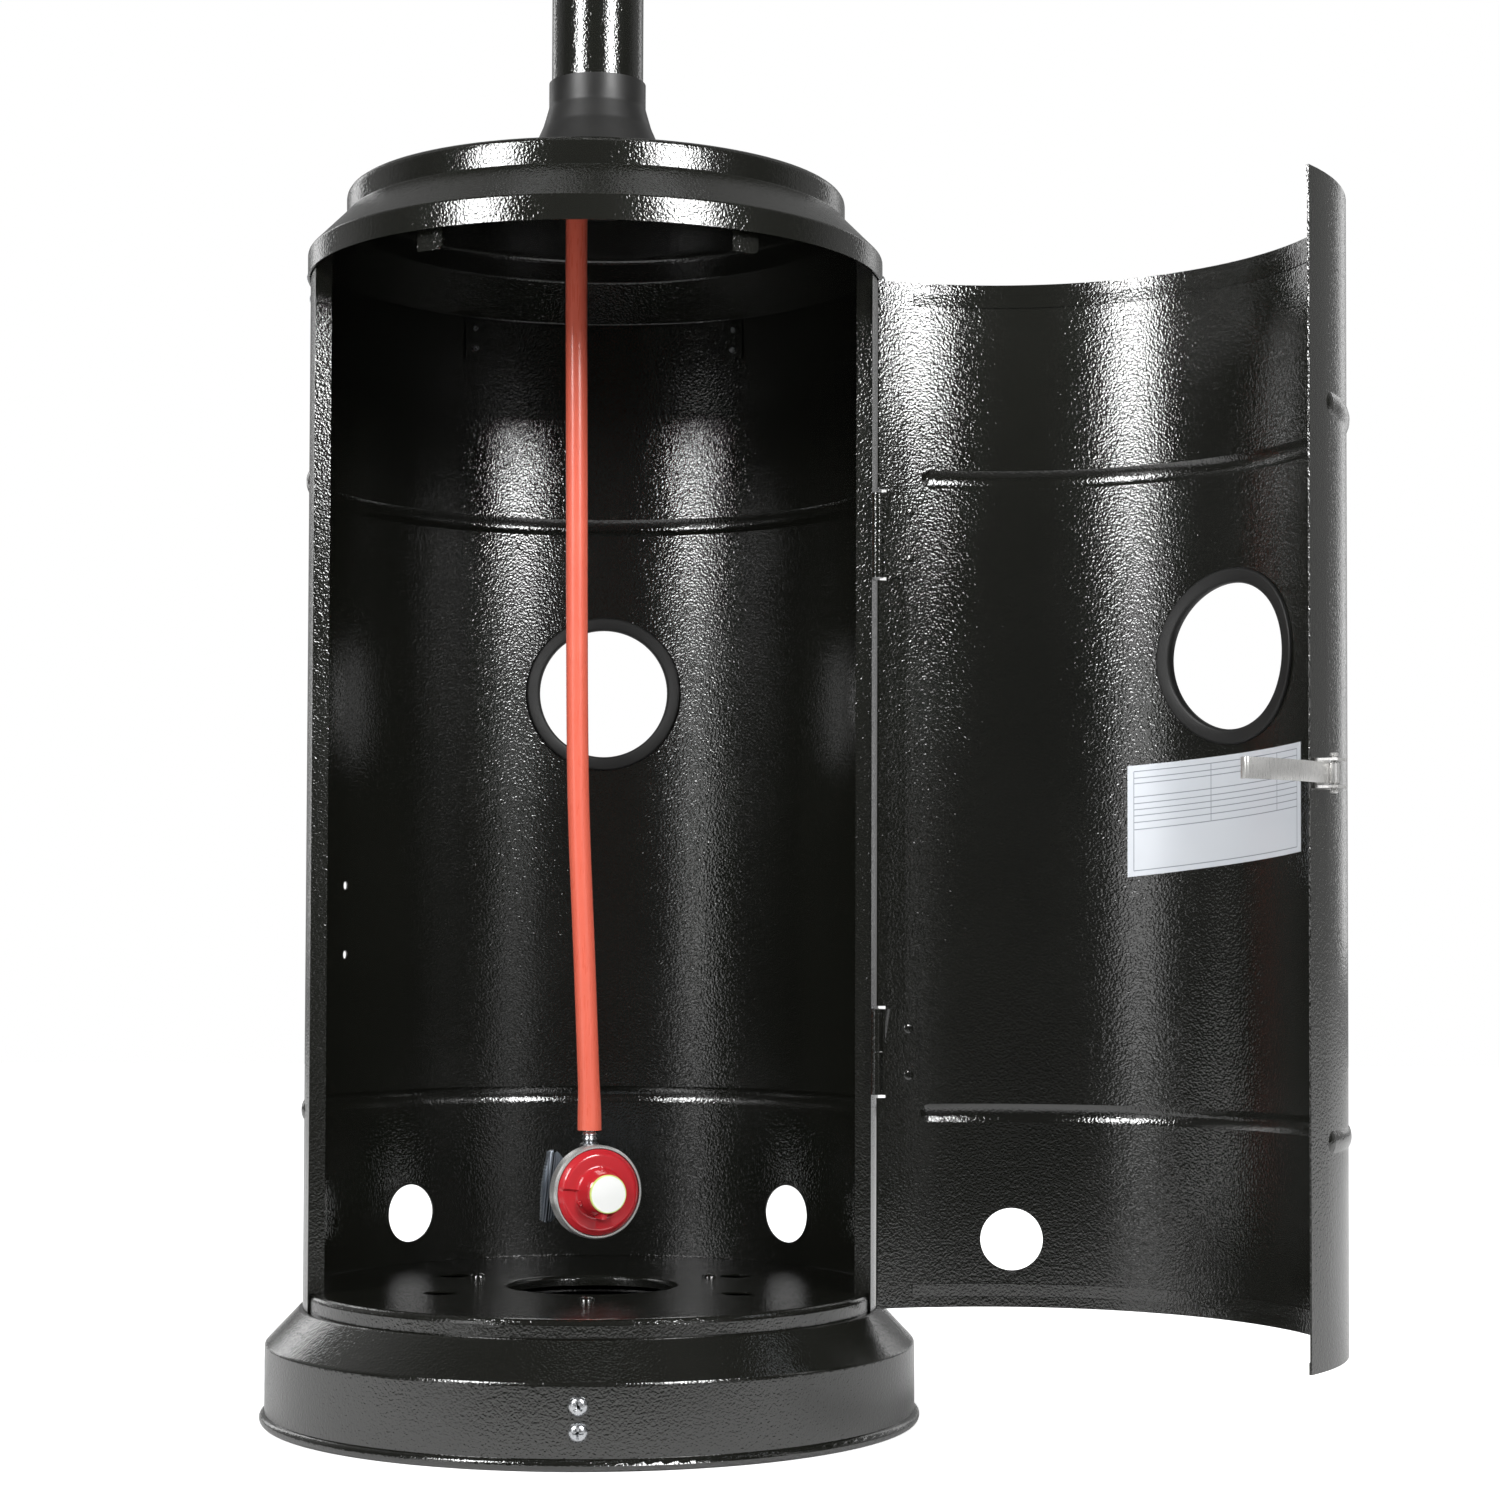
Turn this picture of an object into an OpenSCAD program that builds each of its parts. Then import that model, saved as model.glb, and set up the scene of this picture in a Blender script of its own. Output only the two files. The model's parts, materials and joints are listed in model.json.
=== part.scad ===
// Mushroom patio heater: a gas heater on a post, with a bottle housing and a door
// Z is the axis of the heater, the front faces -Y and the underside is z = 0

/* [Base] */
// Diameter of the base skirt
base_d = 440; // [436:2:480]
// Height of the top of the base
base_h = 77; // [70:1:95]
// Height of the ridge above the skirt
ridge_h = 53; // [44:1:56]
// Diameter of the rolled rim
rim_d = 8; // [5:0.5:10]
// Thickness of the three brackets under the base
bracket_t = 3; // [2:0.5:4]
// Width of a bracket
bracket_w = 44; // [24:1:50]
// Height of the bottle plate above the base
pan_h = 12; // [9:0.5:20]
// Diameter of the hole in the middle of the bottle plate
pan_hole_d = 114; // [90:1:130]
// Diameter of a small hole in the bottle plate
drain_d = 22; // [12:1:30]

/* [Housing] */
// Outer diameter of the bottle housing
housing_d = 390; // [370:2:410]
// Height of the housing shell
shell_h = 709; // [680:1:760]
// Thickness of the pressed sheet steel
sheet = 1.2; // [0.9:0.1:1.6]
// Angle of the shell's edge on the hinge side
hinge_side = -16; // [-20:1:-12]
// Angle of the shell's edge on the latch side
latch_side = -162; // [-166:1:-156]
// Width of the return flange down each edge
flange_w = 11; // [6:1:16]
// Height of the lower pressed bead
low_bead_z = 209; // [170:1:300]
// Height of the upper pressed bead
high_bead_z = 634; // [590:1:700]
// Width of a pressed bead
bead_w = 13; // [10:1:18]
// How far a pressed bead stands out
bead_out = 1.8; // [1.2:0.1:2.4]
// Clear diameter of a hand port
port_d = 95; // [80:1:105]
// Height of the hand ports
port_z = 509; // [480:1:540]
// Diameter of a vent hole
vent_d = 41.5; // [30:0.5:50]
// Height of the vent holes
vent_z = 125; // [122:1:140]
// Height of the lower hole for a bottle strap
strap_hole_z = 313; // [300:1:340]

/* [Cap] */
// How far the cap's skirt laps over the shell
cap_lap = 13; // [10:1:20]
// Height of the cap's skirt
cap_skirt_h = 16; // [12:1:22]
// Radius of the raised ring on the cap
cap_ring_r = 171; // [160:1:178]
// Height of the slope between the skirt and the ring
cap_slope_h = 28; // [20:1:36]
// Height of the raised ring
cap_ring_h = 16; // [10:1:22]
// Rise of the cap's top towards the post
cap_crown = 4; // [2:0.5:8]

/* [Door] */
// Gap between the shell's edge and the door's hinge edge, in degrees
door_gap = 2.5; // [2.2:0.1:3]
// How far the door laps over the shell on the latch side, in degrees
door_lap = 5.2; // [4:0.1:6]
// Gap between the base and the door, and between the door and the cap
door_play = 3; // [2:0.5:6]
// Angle by which the door stands open
door_open = 128.5; // [100:0.5:150]

/* [Hinges] */
// Height of a hinge
hinge_h = 57; // [44:1:70]
// Height of the middle of the lower hinge
low_hinge_z = 250; // [210:1:300]
// Height of the middle of the upper hinge
high_hinge_z = 595; // [560:1:640]
// Diameter of a hinge pin
hinge_pin_d = 4; // [3:0.5:5]
// Thickness of a hinge leaf
leaf_t = 1.5; // [1:0.1:2]
// Width of a hinge leaf
leaf_w = 22; // [18:1:26]

/* [Latch] */
// Height of the latch
latch_z = 419; // [400:1:440]
// Width of the latch arm
arm_w = 12; // [9:0.5:15]
// Length of the latch arm
arm_l = 77; // [64:1:80]
// Distance of the latch pin from the shell's outside
latch_out = 12; // [11:0.5:14]

/* [Post] */
// Diameter of the post
post_d = 63; // [60:0.5:70]
// Wall of the post
post_wall = 1.5; // [1.2:0.1:2]
// Length of the post
post_l = 819; // [700:1:1000]
// Height of the cone that covers the foot of the post
cone_h = 77; // [60:1:90]
// Diameter of the cone at its foot
cone_d = 112; // [108:1:130]

/* [Head] */
// Diameter of the burner head
head_d = 210; // [200:2:230]
// Height of the bowl that carries the head
bowl_h = 45; // [36:1:60]
// Height of the control housing
control_h = 100; // [90:1:130]
// Diameter of the emitter grid
emitter_d = 194; // [180:2:196]
// Height of the emitter grid
emitter_h = 238; // [200:2:260]
// Diameter of a hole in the emitter grid
mesh_d = 9; // [7:0.5:10]
// Rows of holes in the emitter grid
mesh_rows = 13; // [8:1:14]
// Holes in one row of the emitter grid
mesh_cols = 24; // [18:2:28]
// Diameter of the control knob
knob_d = 50; // [44:1:56]
// Distance that the knob is pushed in
knob_push = 3; // [2:0.5:4]
// Distance that the igniter button is pushed in
igniter_push = 5; // [3:0.5:6]

/* [Reflector] */
// Diameter of the reflector
reflector_d = 813; // [700:5:900]
// Depth of the reflector's dome
dome_h = 106; // [80:1:130]
// Thickness of the reflector's aluminium sheet
dome_t = 1; // [0.8:0.1:1.5]
// Length of the studs that carry the reflector
stud_l = 112; // [100:1:130]

/* [Gas hose and regulator] */
// Outer diameter of the gas hose
hose_d = 15; // [12:0.5:16]
// Distance of the hose from the axis where it leaves the post
hose_x = -14; // [-16:0.5:-13]
// Height of the middle of the regulator
regulator_z = 153; // [150:0.5:158]
// Diameter of the regulator's cap
regulator_d = 63.5; // [58:0.5:68]
// Diameter of the disc on the regulator's hub
disc_d = 26; // [20:0.5:28]
// Angle by which the regulator is turned to the right
regulator_turn = 23; // [0:1:45]
// Span of the hand nut's wings
nut_span = 76; // [70:1:96]

/* [Hidden] */

// Clearances
fit = 0.3;
run = 0.05;
eps = 0.01;

// Radii
base_r = base_d / 2;
housing_r = housing_d / 2;
shell_in = housing_r - sheet;
door_r = housing_r + 0.8 + sheet;
door_in = door_r - sheet;
post_r = post_d / 2;
head_r = head_d / 2;
emitter_r = emitter_d / 2;
reflector_r = reflector_d / 2;
cap_r = housing_r + 0.8 + sheet;
pan_r = shell_in - fit;

// Heights
pan_z = base_h + pan_h;
shell_top = base_h + shell_h;
cap_z = shell_top - cap_lap;
cap_ring_z = cap_z + cap_skirt_h + cap_slope_h;
cap_edge_z = cap_ring_z + cap_ring_h;
crown_z = cap_edge_z + cap_crown;
foot_t = 3;
post_z = crown_z + foot_t;
post_top = post_z + post_l;
bowl_top = post_top + bowl_h + 12;
deck_z = bowl_top + control_h;
knob_z = bowl_top + control_h * 0.4;
emitter_z = deck_z;
emitter_top_z = emitter_z + emitter_h;
plate_z = emitter_top_z + 10;

// Steps in a round surface
round_n = 96;
small_n = 40;
$fn = round_n;

// Colours
paint = [0.10, 0.10, 0.11];
zinc = [0.72, 0.73, 0.74];
stainless = [0.75, 0.74, 0.72];
black_plastic = [0.05, 0.05, 0.05];
brass = [0.75, 0.60, 0.30];
aluminium = [0.83, 0.84, 0.85];
coral = [0.93, 0.33, 0.25];
red = [0.72, 0.08, 0.10];

// A vector of length one
function unit(v) = v / norm(v);

// The direction to the left of a direction
function leftward(v) = [-v[1], v[0]];

// The direction of travel into and out of point i of a path
function dir_in(p, i) = i > 0 ? unit(p[i] - p[i - 1]) : unit(p[1] - p[0]);
function dir_out(p, i) = i < len(p) - 1 ? unit(p[i + 1] - p[i]) : dir_in(p, i);

// Point i of a path moved to its left by t
function moved_left(p, i, t) =
    let(a = leftward(dir_in(p, i)), b = leftward(dir_out(p, i)), m = unit(a + b))
    p[i] + m * t / (m * a);

// The outline of a sheet of thickness t on the left of a path
function sheet_outline(p, t) =
    concat(p, [for (i = [len(p) - 1:-1:0]) moved_left(p, i, t)]);

// The points of an arc that rounds the corner at b
function corner(a, b, c, r, n = 4) =
    let(u = unit(a - b), v = unit(c - b), half = acos(u * v) / 2,
        o = b + unit(u + v) * r / sin(half), p = b + u * r / tan(half) - o,
        turn = cross(u, v) > 0 ? -1 : 1, sweep = turn * (180 - 2 * half))
    [for (i = [0:n]) let(s = sweep * i / n)
        o + [p[0] * cos(s) - p[1] * sin(s), p[0] * sin(s) + p[1] * cos(s)]];

// A path with its corners rounded to the radii in r
function rounded(p, r) =
    [for (i = [0:len(p) - 1]) each r[i] == 0 ? [p[i]] : corner(p[i - 1], p[i], p[i + 1], r[i])];

// An angle that spans a length on a radius
function span_deg(l, r) = l / r * 180 / PI;

// A pressed or spun sheet whose outside follows a path of [radius, height]
module spun(path, t = sheet) {
    rotate_extrude() polygon(sheet_outline(path, t));
}

// A curved band between two radii, two heights and two angles
module band(r0, r1, z0, z1, a0 = 0, a1 = 360) {
    rotate([0, 0, a0]) rotate_extrude(angle = a1 - a0) translate([r0, z0]) square([r1 - r0, z1 - z0]);
}

// A round bar along the radius at an angle and a height
module spoke(angle, z, r0, r1, d, n = small_n) {
    rotate([0, 0, angle]) translate([r0, 0, z]) rotate([0, 90, 0]) cylinder(h = r1 - r0, d = d, $fn = n);
}

// A pan-head screw along +Z, its head standing on z = 0 and its shank below
module pan_screw(head_d, head_h, shank_d, shank_l, slot = 1.2) {
    head_r = head_d / 2;
    difference() {
        rotate_extrude($fn = small_n)
            polygon(concat([[0, 0], [head_r, 0]],
                rounded([[head_r, 0.2 * head_h], [head_r, head_h], [0, head_h]], [0, 0.75 * head_h, 0])));
        for (a = [0, 90]) rotate([0, 0, a])
            translate([-slot / 2, -0.3 * head_d, 0.35 * head_h]) cube([slot, 0.6 * head_d, head_h]);
    }
    translate([0, 0, -shank_l]) cylinder(h = shank_l + eps, d = shank_d, $fn = small_n);
}

// A pan-head screw set in from outside at an angle and a height
module side_screw(angle, z, r, head_d, head_h, shank_d, shank_l) {
    rotate([0, 0, angle]) translate([r, 0, z]) rotate([0, 90, 0])
        pan_screw(head_d, head_h, shank_d, shank_l);
}

// A hexagon-head bolt along -Z, its head standing on z = 0
module hex_bolt(flats, head_h, shank_d, shank_l) {
    cylinder(h = head_h, d = flats / cos(30), $fn = 6);
    translate([0, 0, -shank_l]) cylinder(h = shank_l + eps, d = shank_d, $fn = small_n);
}

// A hexagon nut standing on z = 0
module hex_nut(flats, h, bore) {
    difference() {
        cylinder(h = h, d = flats / cos(30), $fn = 6);
        translate([0, 0, -1]) cylinder(h = h + 2, d = bore, $fn = small_n);
    }
}

// Base
bracket_angles = [-90, 30, 150];
skirt_in = base_r - sheet;
base_screw_d = 6;
base_screw_z = [24, 40];
nut_h = 4;
base_hole_r = 75;
bolt_ring_r = 93;
pan_bolt_d = 6;
base_corner_r = housing_r + 2;
base_skin = rounded(
    [[base_r, rim_d / 2], [base_r, ridge_h], [base_corner_r, base_h], [base_hole_r, base_h]],
    [0, 4, 3, 0]);

module base_shell() {
    color(paint) difference() {
        union() {
            spun(base_skin);
            rotate_extrude() translate([base_r - sheet / 2, rim_d / 2]) circle(d = rim_d, $fn = small_n);
        }
        for (a = bracket_angles) {
            for (z = base_screw_z)
                spoke(a, z, skirt_in - 2, base_r + 2, base_screw_d + 2 * fit);
            rotate([0, 0, a]) translate([bolt_ring_r, 0, base_h - 3])
                cylinder(h = 6, d = pan_bolt_d + 2 * fit, $fn = small_n);
        }
    }
}

// Ballast box
box_r = base_r - 14;
flange_z = base_h - sheet - bracket_t;
box_top = flange_z - fit;
neck_d = 34;
filler_d = 44;

module ballast_box() {
    color([0.12, 0.12, 0.12]) difference() {
        union() {
            rotate_extrude() polygon(concat([[0, 0]],
                rounded([[box_r, 0], [box_r, ridge_h - 4], [base_corner_r - 12, box_top], [0, box_top]],
                    [0, 4, 4, 0])));
            cylinder(h = box_top + 4, d = neck_d, $fn = small_n);
        }
        for (a = bracket_angles) rotate([0, 0, a])
            translate([bolt_ring_r, 0, box_top - nut_h - 8]) cylinder(h = nut_h + 10, d = 20, $fn = small_n);
    }
}

module ballast_cap() {
    color(black_plastic) difference() {
        union() {
            translate([0, 0, box_top]) cylinder(h = 6, d = filler_d);
            for (a = [0:30:330]) rotate([0, 0, a])
                translate([filler_d / 2 - 0.6, -1.5, box_top]) cube([1.6, 3, 6]);
        }
        translate([0, 0, box_top - 1]) cylinder(h = 5 + run, d = neck_d + 2 * run, $fn = small_n);
    }
}

// The bracket's outside, following the base's inside from the skirt to the bolts
bracket_path = [
    [skirt_in - fit, 14],
    moved_left(base_skin, 3, sheet + fit),
    moved_left(base_skin, 8, sheet + fit) + [0, fit],
    [bolt_ring_r - 12, base_h - sheet]];

module base_brackets() {
    half = span_deg(bracket_w / 2, base_r);
    color(zinc) for (a = bracket_angles) difference() {
        union() {
            rotate([0, 0, a - half]) rotate_extrude(angle = 2 * half)
                polygon(sheet_outline(bracket_path, bracket_t));
            for (z = base_screw_z)
                spoke(a, z, skirt_in - fit - bracket_t - nut_h, skirt_in - fit - 1, 11);
            rotate([0, 0, a]) translate([bolt_ring_r, 0, flange_z - nut_h])
                cylinder(h = nut_h + 1, d = 11, $fn = small_n);
        }
        for (z = base_screw_z)
            spoke(a, z, skirt_in - bracket_t - nut_h - 3, skirt_in + 1, base_screw_d + 2 * run);
        rotate([0, 0, a]) translate([bolt_ring_r, 0, flange_z - nut_h - 1])
            cylinder(h = nut_h + bracket_t + 3, d = pan_bolt_d + 2 * run, $fn = small_n);
    }
}

module base_screws() {
    color(zinc) for (a = bracket_angles) for (z = base_screw_z)
        side_screw(a, z, base_r, 12.5, 4, base_screw_d, 10);
}

// Bottle plate
drain_angles = [-28, 28, 152, 208];
drain_ring_r = 112;
pan_skin = rounded(
    [[pan_r, base_h], [pan_r, pan_z], [pan_hole_d / 2, pan_z], [pan_hole_d / 2, pan_z - 7]],
    [0, 4, 3, 0]);
shell_screw_angles = [0, 90, 175];
shell_screw_z = base_h + 6;
shell_screw_d = 4;

module floor_pan() {
    color(paint) difference() {
        spun(pan_skin);
        for (a = drain_angles) rotate([0, 0, a]) translate([drain_ring_r, 0, pan_z - 5])
            cylinder(h = 10, d = drain_d, $fn = small_n);
        for (a = bracket_angles) rotate([0, 0, a]) translate([bolt_ring_r, 0, pan_z - 5])
            cylinder(h = 10, d = pan_bolt_d + 2 * fit, $fn = small_n);
        for (a = shell_screw_angles)
            spoke(a, shell_screw_z, pan_r - 4, pan_r + 2, shell_screw_d + 2 * run);
    }
}

module pan_spacers() {
    color(zinc) for (a = bracket_angles) rotate([0, 0, a]) translate([bolt_ring_r, 0, base_h])
        difference() {
            cylinder(h = pan_h - sheet, d = 12, $fn = small_n);
            translate([0, 0, -1]) cylinder(h = pan_h + 2, d = pan_bolt_d + 2 * fit, $fn = small_n);
        }
}

module pan_bolts() {
    color(zinc) for (a = bracket_angles) rotate([0, 0, a]) translate([bolt_ring_r, 0, pan_z])
        pan_screw(11, 3, pan_bolt_d, pan_z - flange_z + nut_h);
}

// Housing shell: the angles run from the hinge side round the back to the latch side
shell_a0 = hinge_side;
shell_a1 = 360 + latch_side;
bead_margin = span_deg(leaf_w + bead_w / 2 + 2, housing_r);
bead_lens_r = (bead_out * bead_out + bead_w * bead_w / 4) / (2 * bead_out);
bead_zs = [low_bead_z, high_bead_z];
vent_angles = [45, 135];
strap_hole_angle = 157;
grommet_d = port_d + 20;
sheet_hole_d = port_d + 8;

// A bead's solid: a ring of round section with round ends, on a sheet of outer radius r
module bead_bar(r, z, a0, a1, lens_r) {
    ring_r = r + bead_out - bead_lens_r;
    rotate([0, 0, a0]) rotate_extrude(angle = a1 - a0) translate([ring_r, z]) circle(r = lens_r, $fn = 64);
    for (a = [a0, a1]) rotate([0, 0, a]) translate([ring_r, 0, z]) sphere(r = lens_r - 0.08, $fn = 64);
}

// A curved sheet with two pressed beads that end short of its edges
module beaded_sheet(r, z0, z1, a0, a1, b0, b1) {
    difference() {
        union() {
            band(r - sheet, r, z0, z1, a0, a1);
            intersection() {
                for (z = bead_zs) bead_bar(r, z, b0, b1, bead_lens_r);
                band(r - sheet / 2, r + 2 * bead_out, low_bead_z - bead_w, high_bead_z + bead_w, a0, a1);
            }
        }
        for (z = bead_zs) bead_bar(r, z, b0, b1, bead_lens_r - sheet);
    }
}

// A return flange down one edge of the opening
module edge_flange(a, side) {
    rotate([0, 0, a]) translate([housing_r - flange_w, side > 0 ? 0 : -sheet, pan_z + fit])
        cube([flange_w - sheet / 2, sheet, shell_top - pan_z - fit]);
}

module housing_shell() {
    color(paint) difference() {
        union() {
            beaded_sheet(housing_r, base_h, shell_top, shell_a0, shell_a1,
                shell_a0 + bead_margin, shell_a1 - bead_margin);
            edge_flange(shell_a0, 1);
            edge_flange(shell_a1, -1);
        }
        spoke(90, port_z, shell_in - 20, housing_r + 20, sheet_hole_d, 64);
        for (a = vent_angles) spoke(a, vent_z, shell_in - 20, housing_r + 20, vent_d);
        for (i = [0, 1])
            spoke(strap_hole_angle, strap_hole_z + 49 * i, shell_in - 5, housing_r + 5, 6);
        for (a = cap_screw_angles) for (z = [cap_screw_z, strap_screw_z])
            spoke(a, z, shell_in - 5, housing_r + 5, cap_screw_d + 2 * fit);
        for (a = shell_screw_angles)
            spoke(a, shell_screw_z, shell_in - 5, housing_r + 5, shell_screw_d + 2 * fit);
        for (hz = [low_hinge_z, high_hinge_z]) for (z = leaf_screw_zs)
            spoke(fixed_screw_angle, hz + z, shell_in - 5, housing_r + 5, leaf_screw_d + 2 * run);
        rotate([0, 0, hook_angle]) translate([shell_in - 5, -hook_slot_w / 2, latch_z - arm_w / 2 - 1.5])
            cube([15, hook_slot_w, arm_w + 3]);
    }
}

module shell_screws() {
    color(zinc) for (a = shell_screw_angles)
        side_screw(a, shell_screw_z, housing_r, 8, 2.4, shell_screw_d, 8);
}

// A rubber ring that grips the edge of a hand port in a sheet of outer radius r
module port_grommet(r, angle) {
    color(black_plastic) difference() {
        intersection() {
            spoke(angle, port_z, r - 30, r + 30, grommet_d, 64);
            band(r - sheet - 2.4, r + 2.4, port_z - grommet_d, port_z + grommet_d);
        }
        spoke(angle, port_z, r - 40, r + 40, port_d, 64);
        difference() {
            band(r - sheet - run, r + run, port_z - grommet_d, port_z + grommet_d);
            spoke(angle, port_z, r - 40, r + 40, sheet_hole_d - 2 * fit, 64);
        }
    }
}

module rear_grommet() {
    port_grommet(housing_r, 90);
}

// Cap
foot_hole_r = post_r - post_wall - 2.5;
cap_skin = rounded(
    [[cap_r, cap_z], [cap_r, cap_z + cap_skirt_h], [cap_ring_r, cap_ring_z - 2],
     [cap_ring_r, cap_edge_z], [cone_d / 2 + 6, crown_z], [foot_hole_r, crown_z]],
    [0, 3, 1.5, 5, 6, 0]);
cap_screw_angles = [0, 60, 120, 180];
cap_screw_z = cap_z + cap_skirt_h * 0.375;
strap_screw_z = cap_z - 9;
cap_screw_d = 4;
side_head_d = 8;
side_head_h = 2.4;
foot_r = cone_d / 2 - 6;
foot_bolt_ring = post_r + 10;
foot_bolt_angles = [30, 150, 270];
foot_bolt_d = 6;

module housing_cap() {
    color(paint) difference() {
        spun(cap_skin);
        for (a = cap_screw_angles) spoke(a, cap_screw_z, shell_in - 5, cap_r + 5, cap_screw_d + 2 * fit);
        for (a = foot_bolt_angles) rotate([0, 0, a]) translate([foot_bolt_ring, 0, crown_z - 5])
            cylinder(h = 10, d = foot_bolt_d + 2 * fit, $fn = small_n);
    }
}

// Tabs inside the front of the cap that stop the door
tab_angles = [-122, -58];
tab_w = 20;
tab_drop = 12;
tab_path = [
    [shell_in - 4, cap_z - tab_drop], [shell_in - 4, cap_z + 2],
    [cap_r - sheet - fit, cap_z + 7], [cap_r - sheet - fit, cap_z + cap_skirt_h - 1]];

module door_stop_tabs() {
    half = span_deg(tab_w / 2, housing_r);
    color(paint) for (a = tab_angles) intersection() {
        rotate([0, 0, a - half]) rotate_extrude(angle = 2 * half)
            polygon(sheet_outline(tab_path, 1.5));
        rotate([0, 0, a]) translate([0, 0, cap_z - tab_drop + 5]) union() {
            translate([0, -tab_w, 0]) cube([housing_r + 20, 2 * tab_w, tab_drop + cap_skirt_h]);
            for (s = [-1, 1]) translate([0, s * (tab_w / 2 - 5), 0]) rotate([0, 90, 0])
                cylinder(h = housing_r + 20, r = 5, $fn = small_n);
            translate([0, 5 - tab_w / 2, -5]) cube([housing_r + 20, tab_w - 10, 6]);
        }
    }
}

// Straps inside the shell that the cap's and the shell's screws pull on
strap_w = 16;
strap_end = 8;
strap_t = 2;

module cap_straps() {
    half = span_deg(strap_w / 2, housing_r);
    color(paint) for (a = cap_screw_angles) difference() {
        band(shell_in - fit - strap_t, shell_in - fit, strap_screw_z - strap_end, cap_screw_z + strap_end - 2,
            a - half, a + half);
        for (z = [cap_screw_z, strap_screw_z])
            spoke(a, z, shell_in - 6, housing_r, cap_screw_d + 2 * run);
    }
}

module cap_screws() {
    color(zinc) for (a = cap_screw_angles) {
        side_screw(a, cap_screw_z, cap_r, side_head_d, side_head_h, cap_screw_d, 8);
        side_screw(a, strap_screw_z, housing_r, side_head_d, side_head_h, cap_screw_d, 6);
    }
}

// Hinges: the pin stands in the gap between the shell and the door
door_a0 = hinge_side - door_gap;
door_a1 = latch_side - door_lap;
knuckle_d = hinge_pin_d + 4;
pin_angle = hinge_side - 1;
pin_r = housing_r + knuckle_d / 2 + 0.6;
pin_at = [pin_r * cos(pin_angle), pin_r * sin(pin_angle), 0];
leaf_screw_d = 4;
leaf_screw_zs = [-hinge_h / 2 + 13, hinge_h / 2 - 13];
fixed_screw_angle = hinge_side + span_deg(leaf_w * 0.7, housing_r);
door_screw_angle = door_a0 - span_deg(leaf_w * 0.7, housing_r);
hinge_zs = [low_hinge_z, high_hinge_z];
knuckle_gap = 0.4;
// The leaves' faces on the outside of the shell and on the inside of the door
fixed_leaf_r = housing_r + run;
door_leaf_r = door_in - run;

// Places what is drawn with the door shut where the open door has it
module on_door() {
    translate(pin_at) rotate([0, 0, door_open]) translate(-pin_at) children();
}

// Places what is drawn round the hinge pin at z = 0 at each hinge
module at_pins() {
    for (z = hinge_zs) translate(pin_at + [0, 0, z]) children();
}

module fixed_leaves() {
    a0 = hinge_side + 0.2;
    a1 = hinge_side + span_deg(leaf_w, housing_r);
    color(paint) for (hz = hinge_zs) difference() {
        union() {
            band(fixed_leaf_r, fixed_leaf_r + leaf_t, hz - hinge_h / 2, hz + hinge_h / 2, a0, a1);
            translate(pin_at + [0, 0, hz - hinge_h / 2])
                cylinder(h = hinge_h / 2 - knuckle_gap / 2, d = knuckle_d, $fn = small_n);
            rotate([0, 0, pin_angle]) translate([housing_r + 0.6, 0, hz - hinge_h / 2])
                cube([leaf_t, 6, hinge_h / 2 - knuckle_gap / 2]);
        }
        translate(pin_at + [0, 0, hz - hinge_h]) cylinder(h = 2 * hinge_h, d = hinge_pin_d, $fn = small_n);
        for (z = leaf_screw_zs)
            spoke(fixed_screw_angle, hz + z, housing_r - 3, housing_r + 6, leaf_screw_d + 2 * run);
        translate(pin_at + [0, 0, hz - knuckle_gap / 2]) cylinder(h = hinge_h, d = knuckle_d + 1, $fn = small_n);
    }
}

module hinge_pins() {
    color(zinc) at_pins() translate([0, 0, -hinge_h / 2]) cylinder(h = hinge_h, d = hinge_pin_d, $fn = small_n);
}

module fixed_leaf_screws() {
    color(zinc) for (hz = hinge_zs) for (z = leaf_screw_zs)
        side_screw(fixed_screw_angle, hz + z, fixed_leaf_r + leaf_t, 7, 2, leaf_screw_d, 6);
}

// The door's leaf runs inside the door, out through the gap and round the pin
module door_leaves() {
    root_a = (door_a0 + pin_angle) / 2 - 0.1;
    a1 = door_a0 - span_deg(leaf_w, housing_r);
    half_t = span_deg(leaf_t / 2, housing_r);
    color(paint) on_door() for (hz = hinge_zs) difference() {
        union() {
            band(door_leaf_r - leaf_t, door_leaf_r, hz - hinge_h / 2, hz + hinge_h / 2, a1, root_a + half_t);
            band(door_leaf_r - leaf_t, pin_r, hz + knuckle_gap / 2, hz + hinge_h / 2,
                root_a - half_t, root_a + half_t);
            translate(pin_at + [0, 0, hz + knuckle_gap / 2])
                cylinder(h = hinge_h / 2 - knuckle_gap / 2, d = knuckle_d, $fn = small_n);
        }
        translate(pin_at + [0, 0, hz - hinge_h])
            cylinder(h = 2 * hinge_h, d = hinge_pin_d + 2 * run, $fn = small_n);
        for (z = leaf_screw_zs)
            spoke(door_screw_angle, hz + z, door_in - 5, door_r + 5, leaf_screw_d + 2 * run);
    }
}

module door_leaf_screws() {
    color(zinc) on_door() for (hz = hinge_zs) for (z = leaf_screw_zs)
        rotate([0, 0, door_screw_angle]) translate([door_leaf_r - leaf_t - run, 0, hz + z]) rotate([0, -90, 0])
            pan_screw(7, 2, leaf_screw_d, 4);
}

// Door
door_z0 = base_h + door_play;
door_z1 = cap_z - door_play - 4;
hem_w = 7;
hem_t = 0.6;
door_port_angle = -90;
door_vent_angles = [-43.7, -136.3];
bracket_holes = [-4.5, 4.5];
// The door's lip closes the gap at the shell's edge, and is notched round the hinges
lip_end = hinge_side - 0.6;
notch_play = 2;

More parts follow.
